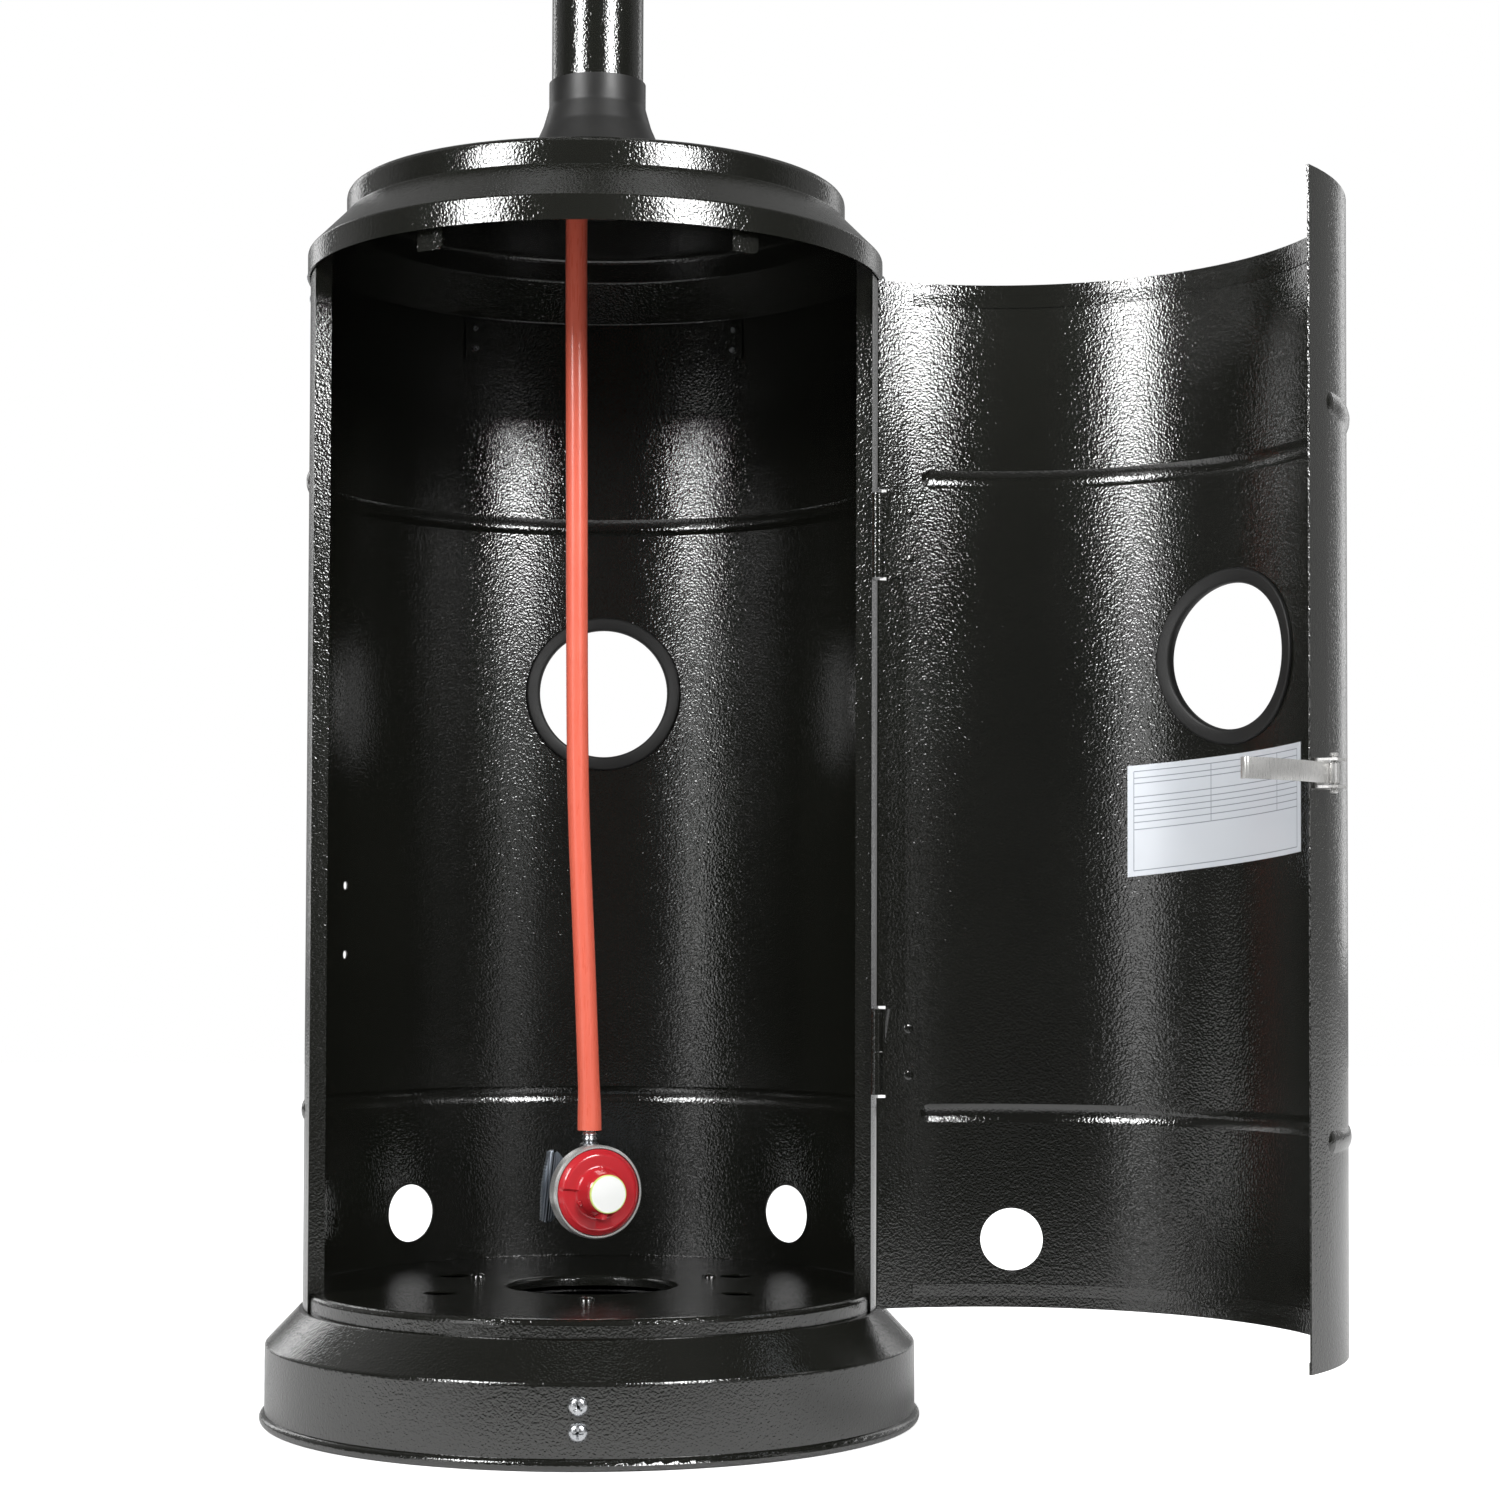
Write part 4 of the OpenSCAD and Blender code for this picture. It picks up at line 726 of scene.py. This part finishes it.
# Places on the heater: millimetres, and degrees round its axis
HINGE_PIN = Vector((190.878, -58.357, 0))
HINGE_ZS = (250, 595)
HINGE_LEAF_W = 22
DOOR_OPEN = 128.5
HINGE_SIDE = -16.0
DOOR_A0 = -18.5
DOOR_A1 = -167.2
HOUSING_R = 195.0
DOOR_R = 197.0
DOOR_IN = 195.8
SHEET_T = 1.2
ARM_W = 12.0
LATCH_Z = 419.0
LATCH_PIN_R = 207.0
EDGE_TO_PIN, PIN_TO_RIVETS = 9, 15
LATCH_ANGLE = DOOR_A1 + math.degrees(EDGE_TO_PIN / HOUSING_R)
RIVET_ANGLE = LATCH_ANGLE + math.degrees(PIN_TO_RIVETS / HOUSING_R)
PORT_Z = 509.0
PORT_R = 47.5
THREE_ROUND = (-90, 30, 150)
REGULATOR_R = 31.75
HUB_FRONT = 35.0
DISC_R = 13.1
NUT_TILT = 6


def spin(angle, axis="Z"):
    """A turn by an angle in degrees."""
    return Matrix.Rotation(math.radians(angle), 4, axis)


# Turns what is drawn with the door shut to where the open door stands
ON_DOOR = Matrix.Translation(HINGE_PIN) @ spin(DOOR_OPEN) @ Matrix.Translation(-HINGE_PIN)
# The regulator's axis as z, pointing forwards
REGULATOR = Matrix.Translation((-2, 0, 153)) @ spin(23)
REGULATOR_AXIS = REGULATOR @ spin(90, "X")
NUT = REGULATOR @ spin(NUT_TILT, "Y")


def side_seat(angle, z, radius, outwards=True):
    """A seat on the wall at an angle, its z axis along the radius, outwards or inwards."""
    return spin(angle) @ Matrix.Translation((radius, 0, z)) @ spin(90 if outwards else -90, "Y")


def plain(places):
    """Places with another turn of each screw round itself, and no stretch."""
    step, quarter = 47, 90
    return [
        (place @ spin(i * step % quarter), (1.0, 1.0, 1.0)) for i, place in enumerate(places)]


def add_screws():
    """Every screw that shows its head, with one mesh for each node."""
    screws = screw_pattern()
    slot_share = 0.13

    def add(name, body, sizes, places, finish="zinc"):
        """The screws of one node: the head's diameter and height, the shank's diameter and
        length, and where each head sits."""
        head_d, head_h, shank_d, shank_l = sizes
        mesh = screws.run(
            name, seats(name, plain(places)), finish, Head_radius=head_d / 2 * MM,
            Head_height=head_h * MM, Shank_radius=shank_d / 2 * MM, Shank_length=shank_l * MM,
            Slot_width=head_d * slot_share * MM)
        add_piece(name + "_heads", mesh, finish, body, name)

    skirt_r, pan_bolt_r, pan_z = 220, 93, 89
    fixed_leaf_t, door_leaf_t, bracket_t = 1.55, 1.6, 1.5
    leaf_deg = math.degrees(HINGE_LEAF_W * 0.7 / HOUSING_R)
    leaf_zs = [hinge + side for hinge in HINGE_ZS for side in (-15.5, 15.5)]
    cap_rows = ((779, DOOR_R), (764, HOUSING_R))
    add("base_screws", "root", (12.5, 4, 6, 9), [
        side_seat(a, z, skirt_r) for a in THREE_ROUND for z in (24, 40)])
    add("shell_screws", "root", (8, 2.4, 4, 7), [
        side_seat(a, 83, HOUSING_R) for a in (0, 90, 175)])
    add("cap_screws", "root", (8, 2.4, 4, 6), [
        side_seat(a, z, radius) for a in (0, 60, 120, 180) for z, radius in cap_rows])
    add("fixed_leaf_screws", "root", (7, 2, 4, 5), [
        side_seat(HINGE_SIDE + leaf_deg, z, HOUSING_R + fixed_leaf_t) for z in leaf_zs])
    add("pan_bolts", "root", (11, 3, 6, 17), [
        Matrix.Translation(polar(a, pan_bolt_r, pan_z)) for a in THREE_ROUND], "black_paint")
    add("door_leaf_screws", "door", (7, 1.2, 4, 4), [
        ON_DOOR @ side_seat(DOOR_A0 - leaf_deg, z, DOOR_IN - door_leaf_t, outwards=False)
        for z in leaf_zs], "black_paint")
    add("latch_rivets", "door", (5.6, 1.6, 3, 3.5), [
        ON_DOOR @ side_seat(RIVET_ANGLE, LATCH_Z + z, DOOR_R + bracket_t) for z in (-4.5, 4.5)])


def grommet_mesh(name, radius, angle, place):
    """A rubber ring with round lips on the edge of a port, in a sheet of this outer radius."""
    lip, groove = 57.5, PORT_R + 4.2
    gap, front = 0.1, 2.4
    back = -SHEET_T - front
    lip_round, bore_round, steps = 1.9, 2.2, 96
    section = rounded(
        [(groove, gap), (lip, gap), (lip, front), (PORT_R, front), (PORT_R, back), (lip, back),
         (lip, -SHEET_T - gap), (groove, -SHEET_T - gap)],
        [0, 0, lip_round, bore_round, bore_round, lip_round, 0, 0])
    points = []
    for step in range(steps):
        turn = 2 * math.pi * step / steps
        for out, rise in section:
            across = out * math.cos(turn)
            deep = math.sqrt((radius + rise) ** 2 - across ** 2)
            up = PORT_Z + out * math.sin(turn)
            points.append(place @ spin(angle) @ Vector((deep, across, up)))
    return piece_mesh(name, points, ring_faces(steps, len(section), closed=True), sharp=50)


def curved_strip(name, a0, a1, z_low, z_high, radius, thick, place, columns=48, lean=0.0):
    """A thin sheet on the inside of a wall of this radius, with a UV map. z_low and z_high give
    its edges' heights at its two ends, and lean is how far its upper edge stands off."""
    points, faces, uvs = [], [], []
    for side in (0.0, thick):
        for i in range(columns + 1):
            share = i / columns
            for end in (z_low, z_high):
                z = end[0] + (end[1] - end[0]) * share
                off = side + lean if side and end is z_high else side
                points.append(place @ polar(a0 + (a1 - a0) * share, radius - off, z))
                uvs.append((share, 0.0 if end is z_low else 1.0))
    row = 2 * (columns + 1)
    for i in range(columns):
        a, b = 2 * i, 2 * i + 2
        faces.append((a, a + 1, b + 1, b))
        faces.append((row + a, row + b, row + b + 1, row + a + 1))
        faces.append((a, b, row + b, row + a))
        faces.append((a + 1, row + a + 1, row + b + 1, b + 1))
    faces.append((0, row, row + 1, 1))
    faces.append((2 * columns, 2 * columns + 1, row + 2 * columns + 1, row + 2 * columns))
    mesh = bpy.data.meshes.new(name)
    mesh.from_pydata([point * MM for point in points], [], faces)
    layer = mesh.uv_layers.new(name="sheet")
    for loop in mesh.loops:
        layer.data[loop.index].uv = uvs[loop.vertex_index]
    return finish_mesh(mesh, weld=False)


def add_grommets():
    """The rubber rings of the door's port and of the port at the back."""
    for name, body, radius, angle, place in (
            ("door_grommet", "door", DOOR_R, -90, ON_DOOR),
            ("rear_grommet", "root", HOUSING_R, 90, Matrix())):
        mesh = grommet_mesh(name + "_ring", radius, angle, place)
        add_piece(name + "_ring", mesh, "black_rubber", body, name)


def add_door_pieces():
    """The bare ruled plate under the door's port, and the door's folded edges: upright beside the
    hinges, in three runs, and along the foot and the top."""
    sheet = curved_strip(
        "ruled_plate", DOOR_A0 - 48.2, DOOR_A0 - 91.5, (366.5, 380.5), (440.2, 449.5),
        DOOR_IN - 0.05, 0.25, ON_DOOR)
    plate = add_piece("ruled_plate", sheet, "stainless", "door")
    plate.data.materials[0] = FINISHES["ruled_plate"]
    foot, top, fold, sunk = 87.2, 758.8, 8.2, 0.02
    uprights = ((foot, 219.5), (280.5, 564.5), (625.5, top))
    hems = [
        curved_strip("hem", HINGE_SIDE - 0.7, HINGE_SIDE - 2.6, (low, low), (high, high),
                     DOOR_IN - sunk, 0.55, ON_DOOR, columns=4)
        for low, high in uprights]
    hems += [
        curved_strip("hem", HINGE_SIDE - 8.0, DOOR_A1 + 7.0, (low, low), (low + fold, low + fold),
                     DOOR_IN - sunk, 0.7, ON_DOOR, columns=72, lean=0.4)
        for low in (foot, top - fold)]
    add_piece("door_edge_hem", joined("door_edge_hem", hems), "black_paint", "door")


def add_latch():
    """The strap with its eye, bow and hook, and its pin with round ends."""
    eye, bore, strap_t = 3.0, 1.6, 1.2
    arm_l, hook_l, rest = 77.0, 6.0, 12.0
    x0 = 1.4 - eye
    bow = [(x0, 0.6), (x0 + 3.5, -arm_l * 0.4), (x0 + 3, -arm_l * 0.78), (x0 - 1, -arm_l),
           (x0 - hook_l, -arm_l + 1.5)]
    path = rounded(bow, [0, 60, 40, 2, 0], 10)
    outline = list(path)
    for i in range(len(path) - 1, -1, -1):
        along = (path[min(i + 1, len(path) - 1)] - path[max(i - 1, 0)]).normalized()
        outline.append(path[i] + Vector((along.y, -along.x)) * strap_t)
    foot = Matrix.Translation((LATCH_PIN_R, 0, LATCH_Z - ARM_W / 2))
    place = ON_DOOR @ spin(LATCH_ANGLE) @ foot @ spin(-rest)
    count = len(outline)
    points = [place @ Vector((p.x, p.y, z)) for z in (0.0, ARM_W) for p in outline]
    half = count // 2
    faces = [(i, (i + 1) % count, count + (i + 1) % count, count + i) for i in range(count)]
    for i in range(half - 1):
        ring = (i, i + 1, count - 2 - i, count - 1 - i)
        faces.append(ring)
        faces.append(tuple(count + j for j in reversed(ring)))
    strap = softened(piece_mesh("strap", points, faces), 0.3)
    loop = turned(
        "loop", [(0, bore), (0.4, eye), (ARM_W - 0.4, eye), (ARM_W, bore)], place, 40, closed=True)
    mesh = joined("latch_strap", [strap, loop])
    add_piece("latch_strap", mesh, "stainless", "latch_arm", "latch_arm")
    pin_l = ARM_W + 11
    foot = Matrix.Translation((LATCH_PIN_R, 0, LATCH_Z - pin_l / 2))
    end = [(0, 0), (0, 1.9), (0.5, 2.4), (1.6, 2.4), (2.1, 1.5)]
    other_end = [(pin_l - along, radius) for along, radius in reversed(end)]
    pin = turned(
        "latch_pin_turned", end + other_end, ON_DOOR @ spin(LATCH_ANGLE) @ foot, 32)
    add_piece("latch_pin_turned", pin, "stainless", "door", "latch_pin")


def add_regulator():
    """The shouldered cap with its hub, the bare disc on it, and the ribbed hand nut."""
    hub, rim = 14.4, REGULATOR_R - 2.5
    profile = rounded(
        [(13.2, 0), (13.2, rim), (17.4, rim), (21.6, rim - 3.4), (20.8, hub + 2.0),
         (HUB_FRONT - 1.6, hub - 0.5), (HUB_FRONT, hub - 1.9), (HUB_FRONT, 0)],
        [0, 0, 1.4, 3.2, 2.6, 0.9, 0.6, 0], 6)
    floor_points = {
        i for i, (along, radius) in enumerate(profile)
        if hub + 0.8 < radius < rim - 1.8 and 19 < along < 23}
    fall_from, fall_to, drop = 172, 292, 1.7
    steep, gentle = 4, 30

    def ramp(i, turn):
        """The face round the hub falls away over a third, after a steep step and up a ramp."""
        if i not in floor_points:
            return 0.0
        angle = math.degrees(turn) % 360
        begun = min(max((angle - fall_from) / steep, 0), 1)
        left = min(max((fall_to - angle) / gentle, 0), 1)
        return -drop * (begun * left)

    dish = turned("dish", profile, REGULATOR_AXIS, 180, lift=ramp)
    webs = [
        softened(box("web", (hub - 1.5, -1.6, low), (hub + 3.4, 1.6, high),
                     REGULATOR_AXIS @ spin(angle)), 0.6)
        for angle, low, high in ((90, 19.0, 25.5), (205, 18.0, 24.0), (330, 19.0, 26.5))]
    tab = softened(box("tab", (hub - 2.0, -2.3, 20.0), (hub + 3.2, 2.3, HUB_FRONT - 0.6),
                       REGULATOR_AXIS @ spin(-98)), 0.7)
    cap = joined("regulator_dish", [dish, *webs, tab])
    dish = add_piece("regulator_dish", cap, "red_plastic", "root", "regulator_cap")
    edge_t, middle_t = 1.5, 1.7
    profile = rounded(
        [(HUB_FRONT, 0), (HUB_FRONT, DISC_R), (HUB_FRONT + edge_t, DISC_R),
         (HUB_FRONT + middle_t, 0)],
        [0, 0, 0.7, 0], 5)
    disc = turned("disc_face", profile, REGULATOR_AXIS, 64)
    face = add_piece("disc_face", disc, "white_plastic", "root", "regulator_disc")
    face.data.materials[0] = FINISHES["disc_face"]
    kept = [NODES[name] for name in ("regulator_nozzle", "regulator_body", "regulator_ring")]
    return [*kept, dish, face, add_hand_nut()]


def add_hand_nut():
    """The union nut: a hub and two broad wings, ribbed on their faces and edges."""
    span, thick, near = 30.5, 4.2, 10.5
    bore, hub, lip = 10.5, 15.5, 9.5
    rib_r, rib_step, edge_step = 0.55, 2.0, 2.2
    outline = rounded(
        [(11, -14), (21, -24), (span - 3.0, -26), (span - 0.6, 0), (span - 3.0, 26), (21, 24),
         (11, 14)],
        [0, 12, 4.0, 70, 4.0, 12, 0], 6)
    count = len(outline)

    def front_y(x):
        """Where a wing's front face is, at a distance from the nut's middle."""
        return near + max(0, (24 - x)) * 0.16

    def back_y(x):
        """Where a wing's back face is, at a distance from the nut's middle."""
        return near + thick + max(0, (30 - x)) * 0.32

    wings, ribs = [], []
    for side in (1, -1):
        front = [Vector((side * p.x, front_y(p.x), p.y)) for p in outline]
        back = [Vector((side * p.x, back_y(p.x), p.y)) for p in outline]
        faces = [tuple(range(count)), tuple(range(2 * count - 1, count - 1, -1))]
        faces += [(i, count + i, count + (i + 1) % count, (i + 1) % count) for i in range(count)]
        wings.append(softened(piece_mesh("wing", [NUT @ p for p in front + back], faces), 0.7))
        for k in range(8):
            x = 13.4 + rib_step * k
            reach = min(13 + (x - 11) * 0.85, 23.5)
            for y in (front_y(x), back_y(x)):
                ribs.append((NUT @ Matrix.Translation((side * x, y, 0)), (1, 1, reach * 2)))
        for k in range(-10, 11):
            z = edge_step * k
            edge = span - 0.9 - 0.0046 * z ** 2
            seat = NUT @ Matrix.Translation((side * edge, near + thick / 2, z)) @ spin(90, "X")
            ribs.append((seat, (1, 1, thick - 1.0)))
    profile = [
        (-38, bore), (-38, hub - 1), (-37, hub), (-13, hub), (-12, hub - 1), (-12, lip),
        (-15, lip), (-15, bore)]
    ring = turned("nut_ring", profile, NUT @ spin(90, "X"), 56, closed=True)
    mesh = rib_pattern().run("nut_ribs", seats("nut_ribs", ribs), "zinc", Rib_radius=rib_r * MM)
    mesh = joined("hand_nut_winged", [ring, *wings, mesh])
    nut = add_piece("hand_nut_winged", mesh, "zinc", "hand_nut", "hand_nut")
    nut.data.materials[0] = FINISHES["cast_zinc"]
    return nut


def add_head_pieces():
    """The emitter's fine mesh, the spun reflector, and the knob's ribs and pointer."""
    foot, height, radius, thick = 1816, 238, 96.9, 0.8
    drum = mesh_pattern().run(
        "emitter_mesh", seats("drum", [(Matrix(), (1, 1, 1))]), "stainless",
        Foot=foot * MM, Height=height * MM, Radius=radius * MM)
    holder = in_scene("drum", drum)
    wall = holder.modifiers.new("wall", "SOLIDIFY")
    wall.thickness = thick * MM
    wall.offset = -1
    add_piece("emitter_mesh", finish_mesh(evaluated(holder)), "stainless", "root", "emitter_grid")
    add_reflector()
    knob_y, knob_z, knob_r = -111.5, 1756.0, 25.0
    rib_r, rib_l, rib_deg = 0.8, 3.0, 8
    facing = Matrix.Translation((0, knob_y, knob_z)) @ spin(90, "X")
    ribs = [
        (facing @ spin(angle) @ Matrix.Translation((knob_r, 0, rib_l / 2)), (1, 1, rib_l))
        for angle in range(0, 360, rib_deg)]
    mesh = rib_pattern().run(
        "knob_ribs", seats("knob_ribs", ribs), "black_plastic", Rib_radius=rib_r * MM)
    add_piece("knob_ribs", mesh, "black_plastic", "knob")
    pointer = box("knob_pointer", (-0.8, 8.0, 17.9), (0.8, 18.5, 18.25), facing)
    add_piece("knob_pointer", pointer, "white_plastic", "knob")


def add_reflector():
    """The spun dish: a flat middle, two soft steps, and a rolled rim."""
    top, deep, flat, reach, thick = 2162.0, 106.0, 90.0, 406.5, 1.0
    step_h, step_w, roll_r, sides = 2.0, 5.0, 3, 144
    steps = [flat + share * (reach - flat) for share in (0.3, 0.62)]

    def height(radius):
        """The height of the dish's upper face at a radius."""
        if radius <= flat:
            return top
        share = (radius - flat) / (reach - flat)
        lifted = sum(step_h * min(max((step - radius) / step_w + 0.5, 0), 1) for step in steps)
        ease = min((radius - flat) / (steps[0] - flat), 1)
        return top - deep * (0.72 * share + 0.28 * share * share) + lifted * ease

    radii = [0.0, 30.0, 60.0, 86.0] + [flat + 4.0 * i for i in range(79)] + [reach - 0.8]
    outside = [(height(radius), radius) for radius in radii]
    inside = [(z - thick, radius) for z, radius in reversed(outside)]
    dish = turned("dish", outside + inside, Matrix(), sides)
    roll_z = top - deep - 2.2
    roll = [
        (roll_z + roll_r * math.sin(turn), reach - roll_r + roll_r * math.cos(turn))
        for turn in (t * math.pi / 8 for t in range(16))]
    rim = turned("rim", roll, Matrix(), sides, closed=True)
    mesh = joined("reflector_spun", [dish, rim])
    add_piece("reflector_spun", mesh, "aluminium", "root", "reflector_dome")


add_screws()
add_grommets()
add_door_pieces()
add_latch()
add_hose(add_regulator())
add_head_pieces()

# Studio: strengths of the room for each kind of ray, and places on the floor in metres
AMBIENT = 0.38
ROOM_FRONT = 0.05
ROOM_BACK = 0.28
ROOM_TURNS = (-0.1, 0.5)
FLOOR_GLOW = 0.8
FLOOR_SIZE = 12.0
FLOOR_LIT_FROM, FLOOR_LIT_TO, FLOOR_PALE_TO = -0.9, -0.2, 0.8


def light_path_mix(tree, kinds, seen, unseen):
    """The shader seen for rays of these kinds, and unseen for all others."""
    path = tree.nodes.new("ShaderNodeLightPath")
    total = None
    for kind in kinds:
        if total is None:
            total = path.outputs[kind]
            continue
        add = tree.nodes.new("ShaderNodeMath")
        add.operation = "MAXIMUM"
        tree.links.new(total, add.inputs[0])
        tree.links.new(path.outputs[kind], add.inputs[1])
        total = add.outputs[0]
    mix = tree.nodes.new("ShaderNodeMixShader")
    tree.links.new(total, mix.inputs[0])
    tree.links.new(unseen, mix.inputs[1])
    tree.links.new(seen, mix.inputs[2])
    return mix.outputs[0]


def add_world():
    """White for the camera, grey as light, and for gloss grey behind the heater and dark in
    front."""
    world = bpy.data.worlds.new("studio")
    bpy.context.scene.world = world
    world.use_nodes = True
    f = Nodes()
    f.tree = world.node_tree
    f.tree.nodes.clear()
    ray = f.node("ShaderNodeTexCoord", output="Generated")
    ahead = f.node("ShaderNodeSeparateXYZ", inputs={"Vector": ray}, output="Y")
    room = f.node("ShaderNodeMapRange", {"interpolation_type": "SMOOTHSTEP"}, {
        "Value": ahead, "From Min": ROOM_TURNS[0], "From Max": ROOM_TURNS[1],
        "To Min": ROOM_FRONT, "To Max": ROOM_BACK})

    def background(strength):
        """A white room of a strength."""
        return f.node("ShaderNodeBackground", inputs={
            "Color": rgb(1, 1, 1), "Strength": strength}).socket

    reflected = light_path_mix(
        f.tree, ["Is Glossy Ray", "Is Transmission Ray"], background(room), background(AMBIENT))
    shown = light_path_mix(f.tree, ["Is Camera Ray"], background(1.0), reflected)
    output = f.tree.nodes.new("ShaderNodeOutputWorld")
    f.tree.links.new(shown, output.inputs["Surface"])


def add_floor():
    """A plain pale floor that keeps the heater's shadow; gloss sees it dim in front."""
    f = Finish("studio floor")
    lit = f.node("ShaderNodeBsdfDiffuse", inputs={"Color": rgb(0.9, 0.9, 0.9)})
    dim = f.node("ShaderNodeBsdfDiffuse", inputs={"Color": rgb(0.1, 0.1, 0.1)})
    back = f.node("ShaderNodeSeparateXYZ", inputs={"Vector": f.place()}, output="Y")
    lit_share = f.band(back, FLOOR_LIT_FROM, FLOOR_LIT_TO)
    dim_in_front = f.node("ShaderNodeMixShader", inputs={0: lit_share, 1: dim, 2: lit})

    def glowing(surface, strength):
        """A surface that also gives white light of a strength."""
        glow = f.node("ShaderNodeEmission", inputs={"Color": rgb(1, 1, 1), "Strength": strength})
        return f.node("ShaderNodeAddShader", inputs={0: surface, 1: glow}).socket

    room = f.band(back, FLOOR_LIT_TO, FLOOR_PALE_TO, 0.0, ROOM_BACK)
    reflected = light_path_mix(
        f.tree, ["Is Glossy Ray", "Is Transmission Ray"], glowing(dim_in_front, room), lit.socket)
    shown = light_path_mix(f.tree, ["Is Camera Ray"], glowing(lit, FLOOR_GLOW), reflected)
    output = f.tree.nodes.new("ShaderNodeOutputMaterial")
    f.tree.links.new(shown, output.inputs["Surface"])
    mesh = bpy.data.meshes.new("floor")
    half = FLOOR_SIZE / 2
    corners = [(-half, -half, 0), (half, -half, 0), (half, half, 0), (-half, half, 0)]
    mesh.from_pydata(corners, [], [(0, 1, 2, 3)])
    mesh.materials.append(f.material)
    floor = in_scene("floor", mesh)


def add_softbox(name, azimuth, distance, low, high, width, radiance):
    """An upright softbox that faces the heater: azimuth in degrees to the right of the front,
    distance, foot, top and width in metres, and radiance."""
    height, middle = high - low, (low + high) / 2
    data = bpy.data.lights.new(name, "AREA")
    data.shape = "RECTANGLE"
    data.size = width
    data.size_y = height
    data.energy = radiance * math.pi * width * height
    lamp = in_scene(name, data)
    lamp.location = polar(azimuth - 90, distance, middle)
    aim = Vector((0, 0, middle)) - lamp.location
    lamp.rotation_euler = aim.to_track_quat("-Z", "Y").to_euler()
    lamp.visible_camera = False


add_world()
add_floor()
# Two tall softboxes light the front, two low ones the foot, and two weak ones the back
add_softbox("softbox_left", -43, 2.3, 1.1, 2.5, 0.66, 19.0)
add_softbox("softbox_right", 36, 2.3, 1.1, 2.5, 0.72, 19.5)
add_softbox("softbox_left_foot", -46, 2.3, 0.05, 1.0, 0.6, 1.4)
add_softbox("softbox_right_foot", 40, 2.3, 0.05, 1.0, 0.6, 0.5)
add_softbox("softbox_back_left", -140, 2.6, 0.3, 2.4, 0.6, 2.0)
add_softbox("softbox_back_right", 140, 2.6, 0.3, 2.4, 0.6, 1.0)
bpy.context.scene.view_settings.view_transform = "Standard"
